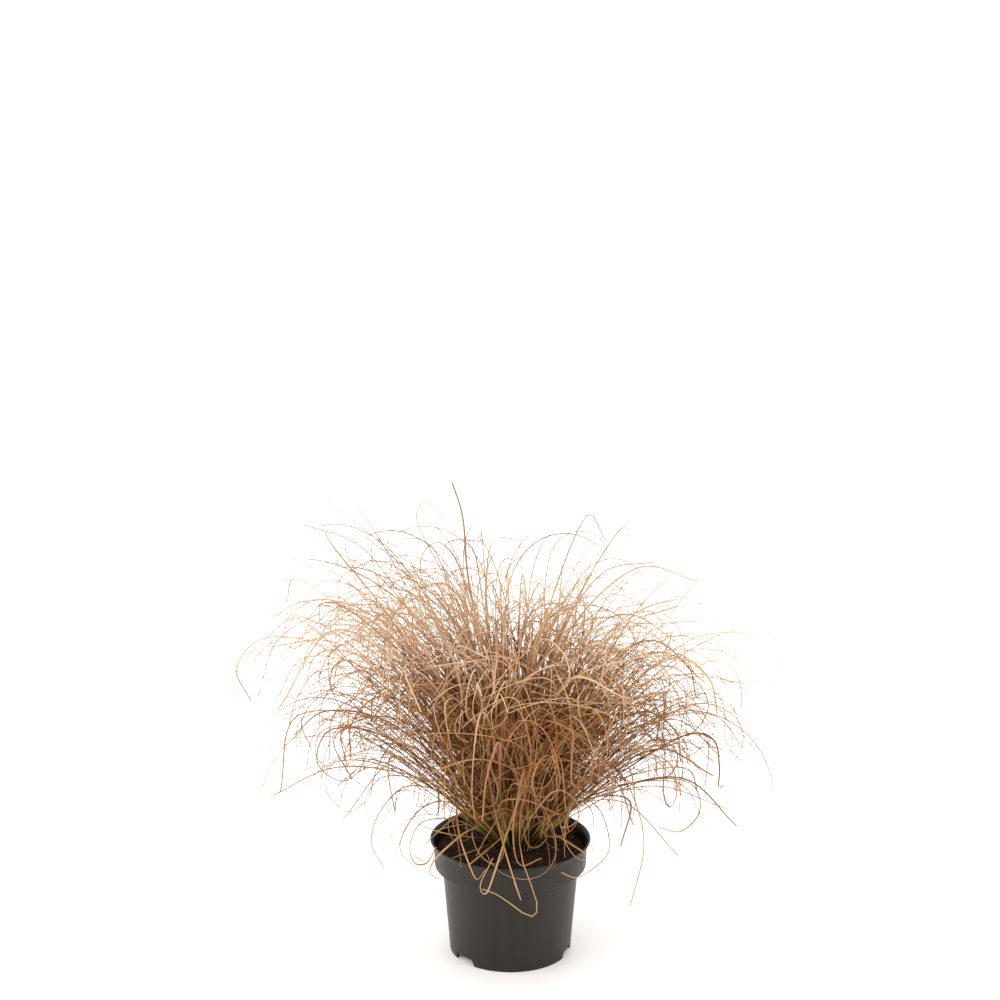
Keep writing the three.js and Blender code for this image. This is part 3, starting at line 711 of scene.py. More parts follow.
def lines_in_room(rng, lines, habit):
    """Which lines keep within the plant's reach, clear of the pot and soil, and hold themselves up."""
    x, y, z = np.moveaxis(lines[:, 1:], -1, 0)
    radius = np.hypot(x, y)
    below = np.where(radius > WALL_TOP_RADIUS, POT_HEIGHT, SOIL_LEVEL + SOIL_LUMPS + FINE_CLEARANCE)
    below = np.where(radius > LIP_RADIUS + LEAF_CLEARANCE, LOWEST_TIP, below)
    reach = np.maximum(abs(x), abs(y))
    in_room = ((z > below) & (reach < REACH) & (z < TOP)).all(axis=1)
    hangs = (rng.random(len(lines)) < HANGING_SHARE) & habit["hooked"][:, 0]
    slope = rng.uniform(*SKIRT_SLOPE, (len(lines), 1))
    tip_share = rng.uniform(*TIP_HEIGHT, len(lines))
    height = z - SOIL_LEVEL
    from_plant = np.hypot(x - PLANT_CENTRE[0], y - PLANT_CENTRE[1])
    is_arc = fine_ends()[1:] > habit["start"]
    above_skirt = (is_arc | (height > slope * (from_plant - SKIRT_RADIUS))).all(axis=1)
    tip_is_up = height[:, -1] > tip_share * height.max(axis=1)
    return in_room & (habit["low"][:, 0] | (above_skirt & (tip_is_up | hangs)))


def tuft_lines(tuft, number):
    """All of a tuft's leaves: those that the solids have, smoothed, and the finer ones."""
    strong = [curve_points(line, FINE_STEPS) for line in tuft["lines"]]
    strong += [
        curve_points(strand_points(tuft, course), FINE_STEPS) for ring, index, course in STRANDS
        if (ring, index) == (tuft["ring"], tuft["index"])
    ]
    rng = np.random.default_rng(FINE_SEED + number)
    count = FINE_LEAVES[tuft["ring"]]
    fine, habit = fine_lines(rng, tuft, count * SPARE_DRAWS)
    fine = fine[lines_in_room(rng, fine, habit)][:count]
    lines = np.concatenate((np.array(strong), fine))
    buried = lines[:, :1].copy()
    buried[:, :, 2] = SOIL_LEVEL - ROOT_DEPTH
    width = np.concatenate((rng.uniform(*STRONG_WIDTH, len(strong)), rng.uniform(*FINE_WIDTH, len(fine))))
    return np.concatenate((buried, lines), axis=1), width, rng


# ---------- Leaf blades ----------
def unit_rows(vectors):
    return vectors / np.maximum(np.linalg.norm(vectors, axis=-1, keepdims=True), TINY)


def blade_sides(lines, twist):
    """The direction across each blade, carried along its line without turning, then twisted."""
    tangents = np.empty_like(lines)
    tangents[:, 1:-1] = lines[:, 2:] - lines[:, :-2]
    tangents[:, 0] = lines[:, 1] - lines[:, 0]
    tangents[:, -1] = lines[:, -1] - lines[:, -2]
    tangents = unit_rows(tangents)
    heading = lines[:, HEADING_POINT] - lines[:, 0]
    side = unit_rows(np.stack((-heading[:, 1], heading[:, 0], np.zeros(len(lines))), axis=-1))
    sides = np.empty_like(lines)
    for i in range(lines.shape[1]):
        tangent = tangents[:, i]
        side = unit_rows(side - (side * tangent).sum(axis=1, keepdims=True) * tangent)
        sides[:, i] = side
    share = np.linspace(0, 1, lines.shape[1])
    angle = (twist[:, None] * share)[..., None]
    return sides * np.cos(angle) + np.cross(tangents, sides) * np.sin(angle)


def along_lines(lines):
    """How far along its leaf each point is, 0 at the root and 1 at the tip."""
    strides = np.linalg.norm(np.diff(lines, axis=1), axis=2)
    run = np.concatenate((np.zeros((len(lines), 1)), np.cumsum(strides, axis=1)), axis=1)
    return run / run[:, -1:]


def half_widths(along, width):
    flare = 1 + ROOT_FLARE * np.exp(-along / ROOT_FLARE_REACH)
    narrowing = np.clip((along - TAPER_START) / (1 - TAPER_START), 0, 1)
    taper = 1 - (1 - TIP_SHARE) * narrowing ** TAPER_POWER
    return width[:, None] / 2 * flare * taper


def add_attribute(mesh, name, values):
    """Gives each point of each leaf a number or a vector."""
    is_vector = values.ndim == 3
    attribute = mesh.attributes.new(name, "FLOAT_VECTOR" if is_vector else "FLOAT", "POINT")
    attribute.data.foreach_set("vector" if is_vector else "value", values.ravel())


def blade_paths(name, lines, width, rng):
    """A mesh of edges along the leaves' middle lines, with what the sweep and the colours read."""
    count, points, _ = lines.shape
    first = np.arange(count * points).reshape(count, points)[:, :-1].ravel()
    mesh = bpy.data.meshes.new(name)
    mesh.from_pydata((lines.reshape(-1, 3) * MM).tolist(), np.stack((first, first + 1), axis=1).tolist(), [])
    along = along_lines(lines)
    add_attribute(mesh, "side", blade_sides(lines, rng.uniform(-TWIST, TWIST, count)))
    add_attribute(mesh, "half_width", half_widths(along, width) * MM)
    add_attribute(mesh, "along", along)
    tone = rng.random(count)
    tone = np.where(width > FINE_WIDTH[1], mix(PALEST_DARK, 1, tone), tone)
    green = np.clip(2 - 2 * rng.random(count) / GREEN_SHARE, 0, 1)
    for label, values in (("tone", tone), ("green", green), ("blush", rng.random(count))):
        add_attribute(mesh, label, values[:, None] * np.ones((1, points)))
    return mesh


# ---------- Node trees ----------
def set_inputs(tree, node, inputs):
    """Sets each named input of a node to a value, or joins another node's socket to it."""
    for name, value in inputs.items():
        if isinstance(value, bpy.types.NodeSocket):
            tree.links.new(value, node.inputs[name])
        else:
            node.inputs[name].default_value = value


def add_node(tree, kind, inputs=None, **settings):
    made = tree.nodes.new(kind)
    for name, value in settings.items():
        setattr(made, name, value)
    set_inputs(tree, made, inputs or {})
    return made


def result_of(tree, kind, inputs=None, **settings):
    """The first output of a new node."""
    return add_node(tree, kind, inputs, **settings).outputs[0]


def maths(tree, operation, first, second, clamp=False):
    return result_of(tree, "ShaderNodeMath", {0: first, 1: second}, operation=operation, use_clamp=clamp)


def vector_maths(tree, operation, first, second):
    """A sum with vectors. The second value of SCALE is a number, and so is what DISTANCE gives."""
    second_input = "Scale" if operation == "SCALE" else 1
    made = add_node(tree, "ShaderNodeVectorMath", {0: first, second_input: second}, operation=operation)
    return made.outputs["Value" if operation == "DISTANCE" else "Vector"]


def map_range(tree, value, source, target=(0.0, 1.0)):
    """A value taken from the source range to the target range, and held inside it."""
    return result_of(tree, "ShaderNodeMapRange", {
        "Value": value,
        "From Min": source[0], "From Max": source[1],
        "To Min": target[0], "To Max": target[1],
    })


def new_group(tree_kind, name, inputs, output):
    """A node tree with (name, kind, value) inputs and one (name, kind) output, and its input sockets."""
    tree = bpy.data.node_groups.new(name, tree_kind)
    for label, kind, value in inputs:
        socket = tree.interface.new_socket(label, in_out="INPUT", socket_type="NodeSocket" + kind)
        if value is not None:
            socket.default_value = value
    label, kind = output
    tree.interface.new_socket(label, in_out="OUTPUT", socket_type="NodeSocket" + kind)
    return tree, tree.nodes.new("NodeGroupInput").outputs


def new_geometry_tree(name, inputs):
    """A geometry tree with a Geometry input and output, inputs of its own and a Material."""
    every_input = (("Geometry", "Geometry", None), *inputs, ("Material", "Material", None))
    return new_group("GeometryNodeTree", name, every_input, ("Geometry", "Geometry"))


def finished_geometry_tree(tree, given, geometry):
    real = result_of(tree, "GeometryNodeRealizeInstances", {"Geometry": geometry})
    dressed = result_of(tree, "GeometryNodeSetMaterial", {"Geometry": real, "Material": given["Material"]})
    add_node(tree, "NodeGroupOutput", {"Geometry": dressed})
    return tree


def named_value(tree, name, kind="FLOAT"):
    return result_of(tree, "GeometryNodeInputNamedAttribute", {"Name": name}, data_type=kind)


def make_blade_sweep():
    """Sweeps a channelled blade, keel down, along every edge path."""
    tree, given = new_geometry_tree("blade_sweep", (
        ("Keel Depth", "Float", KEEL_DEPTH),
        ("Channel Depth", "Float", CHANNEL_DEPTH),
    ))
    paths = result_of(tree, "GeometryNodeMeshToCurve", {"Mesh": given["Geometry"]})
    turned = result_of(tree, "GeometryNodeSetCurveNormal", {
        "Curve": paths, "Normal": named_value(tree, "side", "FLOAT_VECTOR"),
    }, mode="FREE")
    keel, channel = (
        result_of(tree, "ShaderNodeCombineXYZ", {"Y": maths(tree, "MULTIPLY", given[depth], -1.0)})
        for depth in ("Keel Depth", "Channel Depth")
    )
    section = result_of(tree, "GeometryNodeCurvePrimitiveQuadrilateral", {
        "Point 1": (-1, 0, 0), "Point 2": keel, "Point 3": (1, 0, 0), "Point 4": channel,
    }, mode="POINTS")
    # the second and the last corner, on the keel and in the channel, are on the blade's middle line
    is_middle = maths(tree, "MODULO", result_of(tree, "GeometryNodeInputIndex"), 2.0)
    marked = result_of(tree, "GeometryNodeStoreNamedAttribute", {
        "Geometry": section, "Name": "middle", "Value": is_middle,
    }, data_type="FLOAT", domain="POINT")
    blades = result_of(tree, "GeometryNodeCurveToMesh", {
        "Curve": turned, "Profile Curve": marked, "Scale": named_value(tree, "half_width"), "Fill Caps": True,
    })
    flat = result_of(tree, "GeometryNodeSetShadeSmooth", {"Geometry": blades, "Shade Smooth": False})
    return finished_geometry_tree(tree, given, flat)


def new_object(name, mesh):
    mesh.name = name
    made = bpy.data.objects.new(name, mesh)
    bpy.context.scene.collection.objects.link(made)
    return made


def grown(name, mesh, tree, material):
    """The plain mesh object that a geometry tree makes of a mesh."""
    maker = new_object(name + "_maker", mesh)
    modifier = maker.modifiers.new("grow", "NODES")
    modifier.node_group = tree
    material_input = next(socket for socket in tree.interface.items_tree if socket.name == "Material")
    modifier[material_input.identifier] = material
    evaluated = maker.evaluated_get(bpy.context.evaluated_depsgraph_get())
    plain = bpy.data.meshes.new_from_object(evaluated)
    bpy.data.objects.remove(maker)
    return new_object(name, plain)


# ---------- Colours ----------
def linear(red, green, blue):
    """A colour given as 0 to 255 display values, in the renderer's linear numbers."""
    channels = []
    for value in (red, green, blue):
        share = value / 255
        curved = ((share + DISPLAY_OFFSET) / (1 + DISPLAY_OFFSET)) ** DISPLAY_POWER
        channels.append(share / DARK_SLOPE if share <= DARK_END else curved)
    return (*channels, 1)


def colour_ramp(tree, factor, stops):
    """The colour that a ramp of (place, display colour) stops has at a factor socket's value."""
    made = add_node(tree, "ShaderNodeValToRGB", {"Fac": factor})
    elements = made.color_ramp.elements
    while len(elements) < len(stops):
        elements.new(0.5)  # anywhere, because each gets its own place next
    for element, (place, colour) in zip(elements, stops):
        element.position = place
        element.color = linear(*colour)
    return made.outputs["Color"]


def mix_colours(tree, factor, first, second, blend="MIX"):
    # the node has a set of sockets for each kind of value: these are the ones for colours
    inputs = {0: factor, 6: first, 7: second}
    return add_node(tree, "ShaderNodeMix", inputs, data_type="RGBA", blend_type=blend).outputs[2]


def make_mottling():
    """Soft blotches on Object coordinates, as a value about a half."""
    tree, given = new_group("ShaderNodeTree", "mottling", (
        ("Scale", "Float", 40.0),
        ("Stretch", "Vector", (1.0, 1.0, 1.0)),
        ("Contrast", "Float", 1.0),
    ), ("Value", "Float"))
    place = add_node(tree, "ShaderNodeTexCoord").outputs["Object"]
    stretched = vector_maths(tree, "MULTIPLY", place, given["Stretch"])
    blotches = result_of(tree, "ShaderNodeTexNoise", {
        "Vector": stretched, "Scale": given["Scale"], **MOTTLING_GRAIN,
    })
    strong = maths(tree, "MULTIPLY", maths(tree, "SUBTRACT", blotches, 0.5), given["Contrast"])
    add_node(tree, "NodeGroupOutput", {"Value": maths(tree, "ADD", strong, 0.5, clamp=True)})
    return tree


def new_material(name, finish):
    """A material whose shader has the inputs that finish names, with its tree and its shader."""
    material = bpy.data.materials.new(name)
    material.use_nodes = True
    shader = material.node_tree.nodes["Principled BSDF"]
    set_inputs(material.node_tree, shader, finish)
    return material, material.node_tree, shader


def surface_value(tree, name):
    made = add_node(tree, "ShaderNodeAttribute", attribute_type="GEOMETRY", attribute_name=name)
    return made.outputs["Fac"]


def make_leaf_tint():
    """Colour along a leaf: olive at the root, bronze, then paler to the tip; darker or paler by its tone."""
    tree, given = new_group("ShaderNodeTree", "leaf_tint", (
        ("Along", "Float", 0.5),
        ("Tone", "Float", 0.5),
        ("Green", "Float", 0.0),
    ), ("Color", "Color"))
    dark, bronze, pale, green = (
        colour_ramp(tree, given["Along"], stops) for stops in (DARK_LEAF, BRONZE_LEAF, PALE_LEAF, GREEN_LEAF)
    )
    brown = mix_colours(tree, map_range(tree, given["Tone"], DARK_TONES), dark, bronze)
    brown = mix_colours(tree, map_range(tree, given["Tone"], PALE_TONES), brown, pale)
    foot = map_range(tree, given["Along"], GREEN_FOOT, (1.0, 0.0))
    tint = mix_colours(tree, maths(tree, "MULTIPLY", foot, given["Green"]), brown, green)
    add_node(tree, "NodeGroupOutput", {"Color": tint})
    return tree


def low_and_out(tree, place, height):
    """1 where a leaf lies low and out from the crown, over the soil and the rim, and 0 elsewhere."""
    centre = (PLANT_CENTRE[0] * MM, PLANT_CENTRE[1] * MM, 0)
    level = vector_maths(tree, "MULTIPLY", place, (1, 1, 0))
    out = map_range(tree, vector_maths(tree, "DISTANCE", level, centre), OUT_OF_CROWN)
    low = map_range(tree, height, LYING_LOW, (1.0, 0.0))
    return maths(tree, "MULTIPLY", out, low)


def make_leaf_material(mottling):
    material, tree, shader = new_material("leaf", LEAF_FINISH)
    colour = result_of(tree, "ShaderNodeGroup", {
        "Along": surface_value(tree, "along"),
        "Tone": surface_value(tree, "tone"),
        "Green": surface_value(tree, "green"),
    }, node_tree=make_leaf_tint())
    blotches = result_of(tree, "ShaderNodeGroup", LEAF_MOTTLING, node_tree=mottling)
    place = add_node(tree, "ShaderNodeTexCoord").outputs["Object"]
    height = add_node(tree, "ShaderNodeSeparateXYZ", {"Vector": place}).outputs["Z"]
    for value, stops in (
        (blotches, LEAF_BLOTCHES),
        (surface_value(tree, "blush"), LEAF_BLUSH),
        (surface_value(tree, "middle"), LEAF_MARGIN),
        # painted shade: leaves darkened by height, low in the crown and towards the top
        (map_range(tree, height, PAINTED_SHADE_HEIGHTS), PAINTED_LEAF_SHADE),
    ):
        colour = mix_colours(tree, 1.0, colour, colour_ramp(tree, value, stops), "MULTIPLY")
    # painted light: the upper leaves lightened towards a pale straw by height
    painted_light = colour_ramp(tree, map_range(tree, height, PAINTED_LIGHT_HEIGHTS), PAINTED_LIGHT_SHARES)
    colour = mix_colours(tree, painted_light, colour, linear(*PAINTED_LIGHT_TINT))
    # painted light on the leaves that lie low out from the crown, lifting the painted shade there
    lit_low = maths(tree, "MULTIPLY", low_and_out(tree, place, height), PAINTED_LOW_LIGHT_SHARE)
    colour = mix_colours(tree, lit_low, colour, linear(*PAINTED_LOW_LIGHT))
    set_inputs(tree, shader, {"Base Color": colour})
    return material


def make_pot_material(mottling):
    material, tree, shader = new_material("pot_plastic", {**POT_FINISH, "Specular Tint": linear(*POT_SHEEN)})
    streaks = result_of(tree, "ShaderNodeGroup", POT_STREAKS, node_tree=mottling)
    haze = result_of(tree, "ShaderNodeGroup", POT_HAZE, node_tree=mottling)
    colour = colour_ramp(tree, streaks, POT_GREYS)
    dust = colour_ramp(tree, haze, POT_DUST)
    set_inputs(tree, shader, {
        "Base Color": mix_colours(tree, 1.0, colour, dust, "MULTIPLY"),
        "Roughness": map_range(tree, streaks, STREAK_VALUES, STREAK_ROUGHNESS),
        "Normal": result_of(tree, "ShaderNodeBump", {**STREAK_BUMP, "Height": streaks}),
    })
    return material


def make_peat_material(mottling, with_shade):
    material, tree, shader = new_material("peat_crumbs" if with_shade else "peat", PEAT_FINISH)
    grain = result_of(tree, "ShaderNodeGroup", PEAT_GRAIN, node_tree=mottling)
    colour = colour_ramp(tree, grain, PEAT_COLOURS)
    if with_shade:
        lift = colour_ramp(tree, surface_value(tree, "shade"), CRUMB_COLOURS)
        colour = mix_colours(tree, CRUMB_COLOUR_SHARE, colour, lift)
    set_inputs(tree, shader, {"Base Color": colour})
    return material


# ---------- Plain meshes ----------
def new_mesh(name, points, faces):
    """A mesh of points in millimetres."""
    mesh = bpy.data.meshes.new(name)
    mesh.from_pydata((np.array(points) * MM).tolist(), [], faces)
    return mesh


def circle(radius, sides):
    turns = [2 * math.pi * i / sides for i in range(sides)]
    return [(radius * math.cos(turn), radius * math.sin(turn)) for turn in turns]


def turned_faces(rings, sides, closed=True):
    """Faces from a first point on the axis out over the rings and, where closed, in to a last point.

    They face up where the rings go out, and outwards where they go down.
    """
    faces = []
    last = 1 + (rings - 1) * sides
    for i in range(sides):
        j = (i + 1) % sides
        faces.append((0, 1 + i, 1 + j))
        for near in range(1, last, sides):
            far = near + sides
            faces.append((near + i, far + i, far + j, near + j))
        if closed:
            faces.append((last + i, last + sides, last + j))
    return faces


def lathe(name, profile, sides):
    """A closed mesh turned from a profile that starts and ends on the axis, the lower end first."""
    points = [(0, 0, profile[0][1])]
    for r, z in profile[1:-1]:
        points += [(x, y, z) for x, y in circle(r, sides)]
    points.append((0, 0, profile[-1][1]))
    faces = turned_faces(len(profile) - 2, sides)
    return new_mesh(name, points, [(first, *reversed(others)) for first, *others in faces])


def prism(name, outline, depth):
    """A closed prism: an outline in X and Z pushed along +Y."""
    count = len(outline)
    points = [(x, y, z) for y in (0, depth) for x, z in outline]
    faces = [tuple(range(count)), tuple(reversed(range(count, 2 * count)))]
    for i in range(count):
        j = (i + 1) % count
        faces.append((i, i + count, j + count, j))
    return new_mesh(name, points, faces)


def set_out(mesh, place, degrees):
    """mesh moved to a place and then turned about the pot's axis."""
    turn = Matrix.Rotation(math.radians(degrees), 4, "Z")
    mesh.transform(turn @ Matrix.Translation(Vector(place) * MM))
    return mesh


def cut(piece, cutters):
    """piece less each cutter mesh, and the cutters gone."""
    for cutter in cutters:
        tool = new_object("cutter", cutter)
        modifier = piece.modifiers.new("cut", "BOOLEAN")
        modifier.operation = "DIFFERENCE"
        modifier.solver = "EXACT"
        modifier.object = tool
        evaluated = piece.evaluated_get(bpy.context.evaluated_depsgraph_get())
        piece.data = bpy.data.meshes.new_from_object(evaluated)
        piece.modifiers.clear()
        bpy.data.objects.remove(tool)


def smooth(piece, degrees):
    """Rounds a piece's shading, but for edges sharper than so many degrees."""
    piece.data.polygons.foreach_set("use_smooth", [True] * len(piece.data.polygons))
    piece.data.set_sharp_from_angle(angle=math.radians(degrees))


# ---------- Pot ----------
def filleted(corners):
    """Profile points from (radius, height, round) corners, each rounded by an arc of that radius."""
    points = []
    for i, (x, z, radius) in enumerate(corners):
        here = np.array((x, z), dtype=float)
        if radius == 0 or i in (0, len(corners) - 1):
            points.append(here)
            continue
        before = unit_rows(np.array(corners[i - 1][:2]) - here)
        after = unit_rows(np.array(corners[i + 1][:2]) - here)
        opening = math.acos(float(np.clip(before @ after, -1, 1)))
        tangent = radius / math.tan(opening / 2)
        centre = here + unit_rows(before + after) * radius / math.sin(opening / 2)
        start, end = here + before * tangent - centre, here + after * tangent - centre
        turn = math.pi - opening
        for step in range(FILLET_STEPS + 1):
            share = step / FILLET_STEPS
            spread = math.sin((1 - share) * turn) * start + math.sin(share * turn) * end
            points.append(centre + spread / math.sin(turn))
    return points


def inner_wall_radius(z):
    return mix(FOOT_RADIUS, WALL_TOP_RADIUS, (z - SLOPE_START) / (WALL_TOP - SLOPE_START)) - WALL


def pot_profile():
    notch_line = NOTCH_HEIGHT + LINE_OVER_NOTCH
    # the line over the notches takes the place of the lowest band's edge
    wall = [
        (mix(FOOT_RADIUS, WALL_TOP_RADIUS, i / WALL_BANDS), mix(SLOPE_START, WALL_TOP, i / WALL_BANDS), 0)
        for i in range(2, WALL_BANDS)
    ]
    return filleted([
        (0, FLOOR_UNDERSIDE, 0),
        (FOOT_RADIUS - FOOT_RING_WIDTH, FLOOR_UNDERSIDE, FOOT_ROUNDS[0]),
        (FOOT_RADIUS - FOOT_RING_WIDTH, 0, FOOT_ROUNDS[1]),
        (FOOT_RADIUS, 0, FOOT_ROUNDS[2]),
        (mix(FOOT_RADIUS, WALL_TOP_RADIUS, notch_line / WALL_TOP), notch_line, 0),
        *wall,
        (WALL_TOP_RADIUS, WALL_TOP, LEDGE_ROUNDS[0]),
        (COLLAR_FOOT_RADIUS, COLLAR_FOOT, LEDGE_ROUNDS[1]),
        (COLLAR_RADIUS, POT_HEIGHT - FLARE_HEIGHT, FLARE_ROUNDS[0]),
        (FLARE_RADIUS, POT_HEIGHT - FLARE_HEIGHT / 2, FLARE_ROUNDS[1]),
        (LIP_RADIUS, POT_HEIGHT - LIP_EDGE, LIP_ROUNDS[0]),
        (LIP_RADIUS, POT_HEIGHT, LIP_ROUNDS[1]),
        (LIP_RADIUS - LIP_WIDTH, POT_HEIGHT, LIP_ROUNDS[2]),
        (FLARE_RADIUS - WALL, POT_HEIGHT - FLARE_HEIGHT / 2, FLARE_ROUNDS[1]),
        (COLLAR_RADIUS - WALL, POT_HEIGHT - FLARE_HEIGHT, FLARE_ROUNDS[0]),
        (COLLAR_FOOT_RADIUS - WALL, COLLAR_FOOT + WALL / 2, INNER_ROUND),
        (inner_wall_radius(WALL_TOP), WALL_TOP + WALL / 2, INNER_ROUND),
        (inner_wall_radius(FLOOR_TOP), FLOOR_TOP, INNER_ROUND),
        (0, FLOOR_TOP, 0),
    ])


def notch_outline():
    """A low opening with leaning sides and round upper corners."""
    half = NOTCH_WIDTH / 2
    side = [(half, -NOTCH_OVERCUT), (half - NOTCH_LEAN, NOTCH_HEIGHT * NOTCH_SIDE)]
    for step in range(NOTCH_CORNER_STEPS + 1):
        turn = math.radians(90 * step / NOTCH_CORNER_STEPS)
        side.append((
            half - NOTCH_SLANT + NOTCH_CORNER_WIDTH * math.cos(turn),
            NOTCH_HEIGHT * (NOTCH_SHOULDER + (1 - NOTCH_SHOULDER) * math.sin(turn)),
        ))
    return side + [(-x, z) for x, z in reversed(side)]


def make_pot(material):
    pot = new_object("moulded_pot", lathe("moulded_pot", pot_profile(), POT_SIDES))
    cutters = []
    for azimuth in NOTCH_AZIMUTHS:
        notch = prism("notch", notch_outline(), NOTCH_CUT)
        # it is drawn facing +Y, which is 90 degrees round from +X
        cutters.append(set_out(notch, (0, FOOT_RADIUS - NOTCH_INSIDE, 0), azimuth - 90))
    bottom, top = HOLE_CUT
    for i in range(HOLE_COUNT):
        hole = lathe("hole", [(0, bottom), (HOLE_RADIUS, bottom), (HOLE_RADIUS, top), (0, top)], HOLE_SIDES)
        cutters.append(set_out(hole, (HOLE_RING_RADIUS, 0, 0), 360 * i / HOLE_COUNT + HOLE_TURN))
    cut(pot, cutters)
    smooth(pot, POT_SHARPNESS)
    pot.data.materials.clear()
    pot.data.materials.append(material)
    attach(pot, "root")
    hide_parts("pot")


# ---------- Soil ----------
def soil_height(x, y):
    """The soil's top: low lumps, with finer crumbly unevenness."""
    swell = math.sin(SWELL[0] * x + SWELL_START) + math.cos(SWELL[1] * y - SWELL[2] * x)
    place = Vector((x, y, UNEVEN_SLICE))
    uneven = sum(noise.noise(place * scale) * height for scale, height in UNEVENNESS)
    return SOIL_LEVEL + SOIL_LUMPS / 2 * swell + uneven


def soil_top_points():
    points = [(0, 0, soil_height(0, 0))]
    for ring in range(1, SOIL_RINGS + 1):
        points += [(x, y, soil_height(x, y)) for x, y in circle(SOIL_EDGE * ring / SOIL_RINGS, SOIL_SIDES)]
    return points


def soil_top_mesh():
    return new_mesh("soil_top", soil_top_points(), turned_faces(SOIL_RINGS, SOIL_SIDES, closed=False))


def make_soil(material):
    floor = FLOOR_TOP + GAP
    below = (
        (SOIL_EDGE, COLLAR_FOOT + SOIL_OVER_COLLAR_FOOT),
        (inner_wall_radius(WALL_TOP) - 2 * GAP, WALL_TOP + SOIL_OVER_WALL_TOP),
        (inner_wall_radius(floor) - 2 * GAP, floor),
    )
    points = soil_top_points()
    for r, z in below:
        points += [(x, y, z) for x, y in circle(r, SOIL_SIDES)]
    points.append((0, 0, floor))
    mesh = new_mesh("potting_soil", points, turned_faces(SOIL_RINGS + len(below), SOIL_SIDES))
    mesh.materials.append(material)
    soil = new_object("potting_soil", mesh)
    smooth(soil, SOIL_SHARPNESS)
    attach(soil, "root")
    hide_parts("soil")


def random_value(tree, low, high, draw):
    """A random number or, between two vectors, a random vector."""
    is_vector = isinstance(low, tuple)
    # the node has a set of sockets for each kind of value
    first_input, output = (0, 0) if is_vector else (2, 1)
    made = add_node(tree, "FunctionNodeRandomValue", {
        first_input: low, first_input + 1: high, "Seed": LITTER_SEEDS[draw],
    }, data_type="FLOAT_VECTOR" if is_vector else "FLOAT")
    return made.outputs[output]


def scattered(tree, given, thing, sizes):
    """thing set on points of a surface, each turned and sized at random, with a shade of its own."""
    spots = result_of(tree, "GeometryNodeDistributePointsOnFaces", {
        "Mesh": given["Geometry"], "Density": given["Density"], "Seed": given["Seed"],
    })
    turns = random_value(tree, (0, 0, 0), (2 * math.pi,) * 3, "turn")
    placed = result_of(tree, "GeometryNodeInstanceOnPoints", {
        "Points": spots, "Instance": thing, "Rotation": turns, "Scale": sizes,
    })
    shaded = result_of(tree, "GeometryNodeStoreNamedAttribute", {
        "Geometry": placed, "Name": "shade", "Value": random_value(tree, 0.0, 1.0, "shade"),
    }, data_type="FLOAT", domain="INSTANCE")
    return result_of(tree, "GeometryNodeRealizeInstances", {"Geometry": shaded})


def make_crumb_tree():
    """Small ragged lumps strewn over a surface."""
    tree, given = new_geometry_tree("crumbs", (
        ("Density", "Float", CRUMBS_PER_M2),
        ("Smallest", "Float", CRUMB_SIZE[0] / 2 * MM),
        ("Largest", "Float", CRUMB_SIZE[1] / 2 * MM),
        ("Seed", "Int", LITTER_SEEDS["crumbs"]),
    ))
    lump = result_of(tree, "GeometryNodeMeshIcoSphere", {"Radius": 1.0, "Subdivisions": 1})
    few_large = maths(tree, "POWER", random_value(tree, 0.0, 1.0, "size"), CRUMB_POWER)
    size = map_range(tree, few_large, (0.0, 1.0), (given["Smallest"], given["Largest"]))
    sizes = vector_maths(tree, "SCALE", random_value(tree, *CRUMB_STRETCH, "stretch"), size)
    lumps = scattered(tree, given, lump, sizes)
    ragged = add_node(tree, "ShaderNodeTexNoise", {"Scale": RAGGED_SCALE, "Detail": 1.0}).outputs["Color"]
    centred = vector_maths(tree, "SUBTRACT", ragged, (0.5, 0.5, 0.5))
    push = vector_maths(tree, "SCALE", centred, RAGGED_PUSH * MM)
    rough = result_of(tree, "GeometryNodeSetPosition", {"Geometry": lumps, "Offset": push})
    return finished_geometry_tree(tree, given, rough)


def make_fibre_tree():
    """Short bent fibres strewn over a surface."""
    tree, given = new_geometry_tree("fibres", (
        ("Density", "Float", FIBRES_PER_M2),
        ("Shortest", "Float", FIBRE_LENGTH[0] * MM),
        ("Longest", "Float", FIBRE_LENGTH[1] * MM),
        ("Radius", "Float", FIBRE_RADIUS * MM),
        ("Seed", "Int", LITTER_SEEDS["fibres"]),
    ))
    bend = result_of(tree, "GeometryNodeCurveArc", {
        "Resolution": FIBRE_POINTS, "Radius": 1.0, "Sweep Angle": FIBRE_BEND,
    })
    size = random_value(tree, given["Shortest"], given["Longest"], "length")
    sizes = result_of(tree, "ShaderNodeCombineXYZ", {"X": size, "Y": size, "Z": size})
    section = result_of(tree, "GeometryNodeCurvePrimitiveCircle", {
        "Resolution": FIBRE_SIDES, "Radius": given["Radius"],
    })
    fibres = result_of(tree, "GeometryNodeCurveToMesh", {
        "Curve": scattered(tree, given, bend, sizes), "Profile Curve": section, "Fill Caps": True,
    })
    return finished_geometry_tree(tree, given, fibres)


def make_soil_litter(material):
    for name, tree in (("soil_crumbs", make_crumb_tree()), ("soil_fibres", make_fibre_tree())):
        piece = grown(name, soil_top_mesh(), tree, material)
        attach(piece, "root")


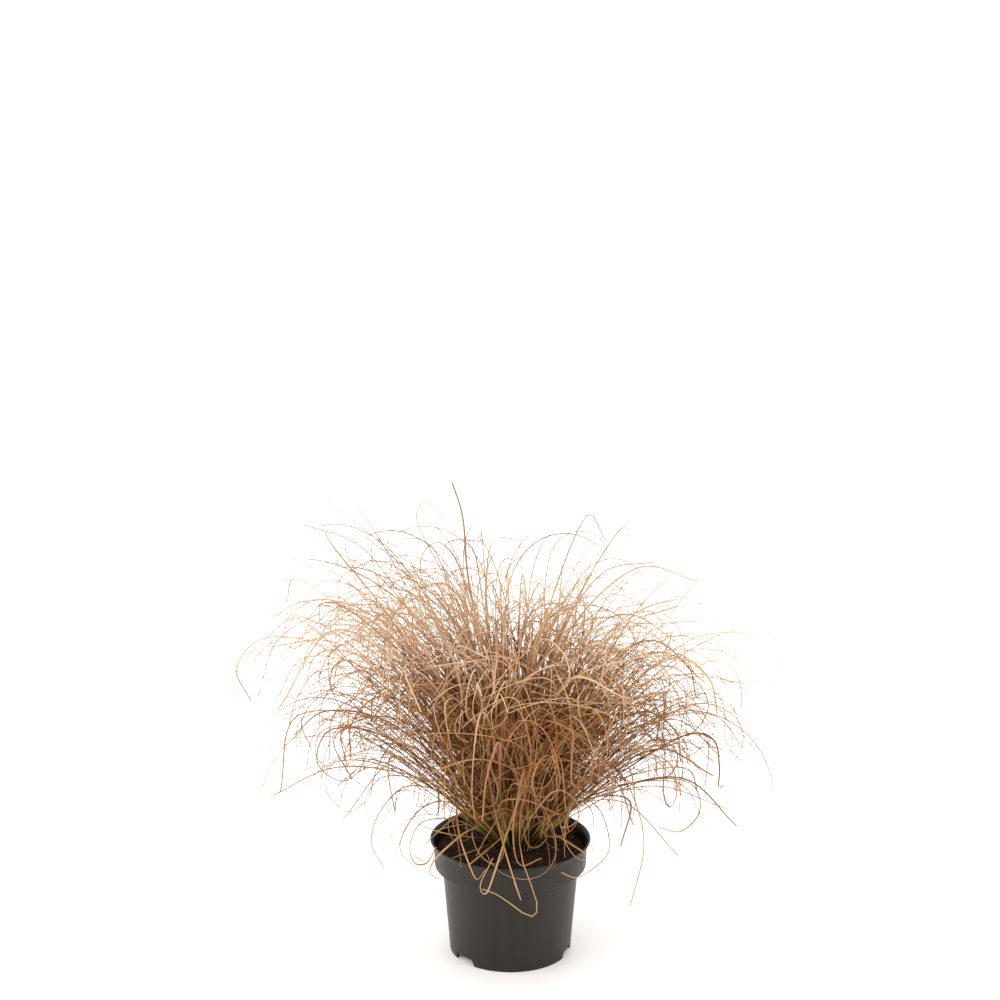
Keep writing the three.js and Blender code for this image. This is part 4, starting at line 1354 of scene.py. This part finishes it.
# ---------- Stage ----------
def make_floor():
    corners = [(x * FLOOR_HALF, y * FLOOR_HALF, 0) for x, y in ((-1, -1), (1, -1), (1, 1), (-1, 1))]
    mesh = new_mesh("floor", corners, [(0, 1, 2, 3)])
    mesh.materials.append(new_material("floor", FLOOR_FINISH)[0])
    new_object("floor", mesh)


def add_softbox(name, place, size, power, colour):
    light = bpy.data.lights.new(name, "AREA")
    light.shape = "RECTANGLE"
    light.size, light.size_y = size
    light.energy = power
    light.color = linear(*colour)[:3]
    lamp = bpy.data.objects.new(name, light)
    lamp.location = place
    lamp.rotation_euler = (Vector(LIGHT_AIM) - Vector(place)).to_track_quat("-Z", "Y").to_euler()
    bpy.context.scene.collection.objects.link(lamp)


def make_light():
    world = bpy.data.worlds.new("studio")
    world.use_nodes = True
    background = world.node_tree.nodes["Background"]
    set_inputs(world.node_tree, background, {"Color": WHITE, "Strength": WORLD_LIGHT})
    bpy.context.scene.world = world
    for softbox in SOFTBOXES:
        add_softbox(*softbox)
    bpy.context.scene.view_settings.view_transform = "Standard"


def make_camera():
    camera = bpy.data.cameras.new("camera")
    camera.lens = CAMERA_LENS
    camera.sensor_width = SENSOR_WIDTH
    eye = bpy.data.objects.new("camera", camera)
    eye.location = (CAMERA_RIGHT, -CAMERA_BACK, CAMERA_HEIGHT)
    eye.rotation_euler = (math.radians(90 - CAMERA_PITCH), 0, 0)
    bpy.context.scene.collection.objects.link(eye)
    bpy.context.scene.camera = eye


# ---------- The whole ----------
def make_tufts(tufts, material):
    sweep = make_blade_sweep()
    for number, tuft in enumerate(tufts, start=1):
        lines, width, rng = tuft_lines(tuft, number)
        paths = blade_paths(f"paths_{number:02d}", lines, width, rng)
        leaves = grown(f"leaves_{number:02d}", paths, sweep, material)
        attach(leaves, "root")
        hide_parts(f"tuft_{number:02d}")


make_camera()
make_light()
make_floor()
mottling = make_mottling()
make_pot(make_pot_material(mottling))
make_soil(make_peat_material(mottling, False))
make_soil_litter(make_peat_material(mottling, True))
growth = Draws(SEED)
tufts = lay_out_tufts(growth)
grow_leaves(growth, tufts)
make_tufts(tufts, make_leaf_material(mottling))
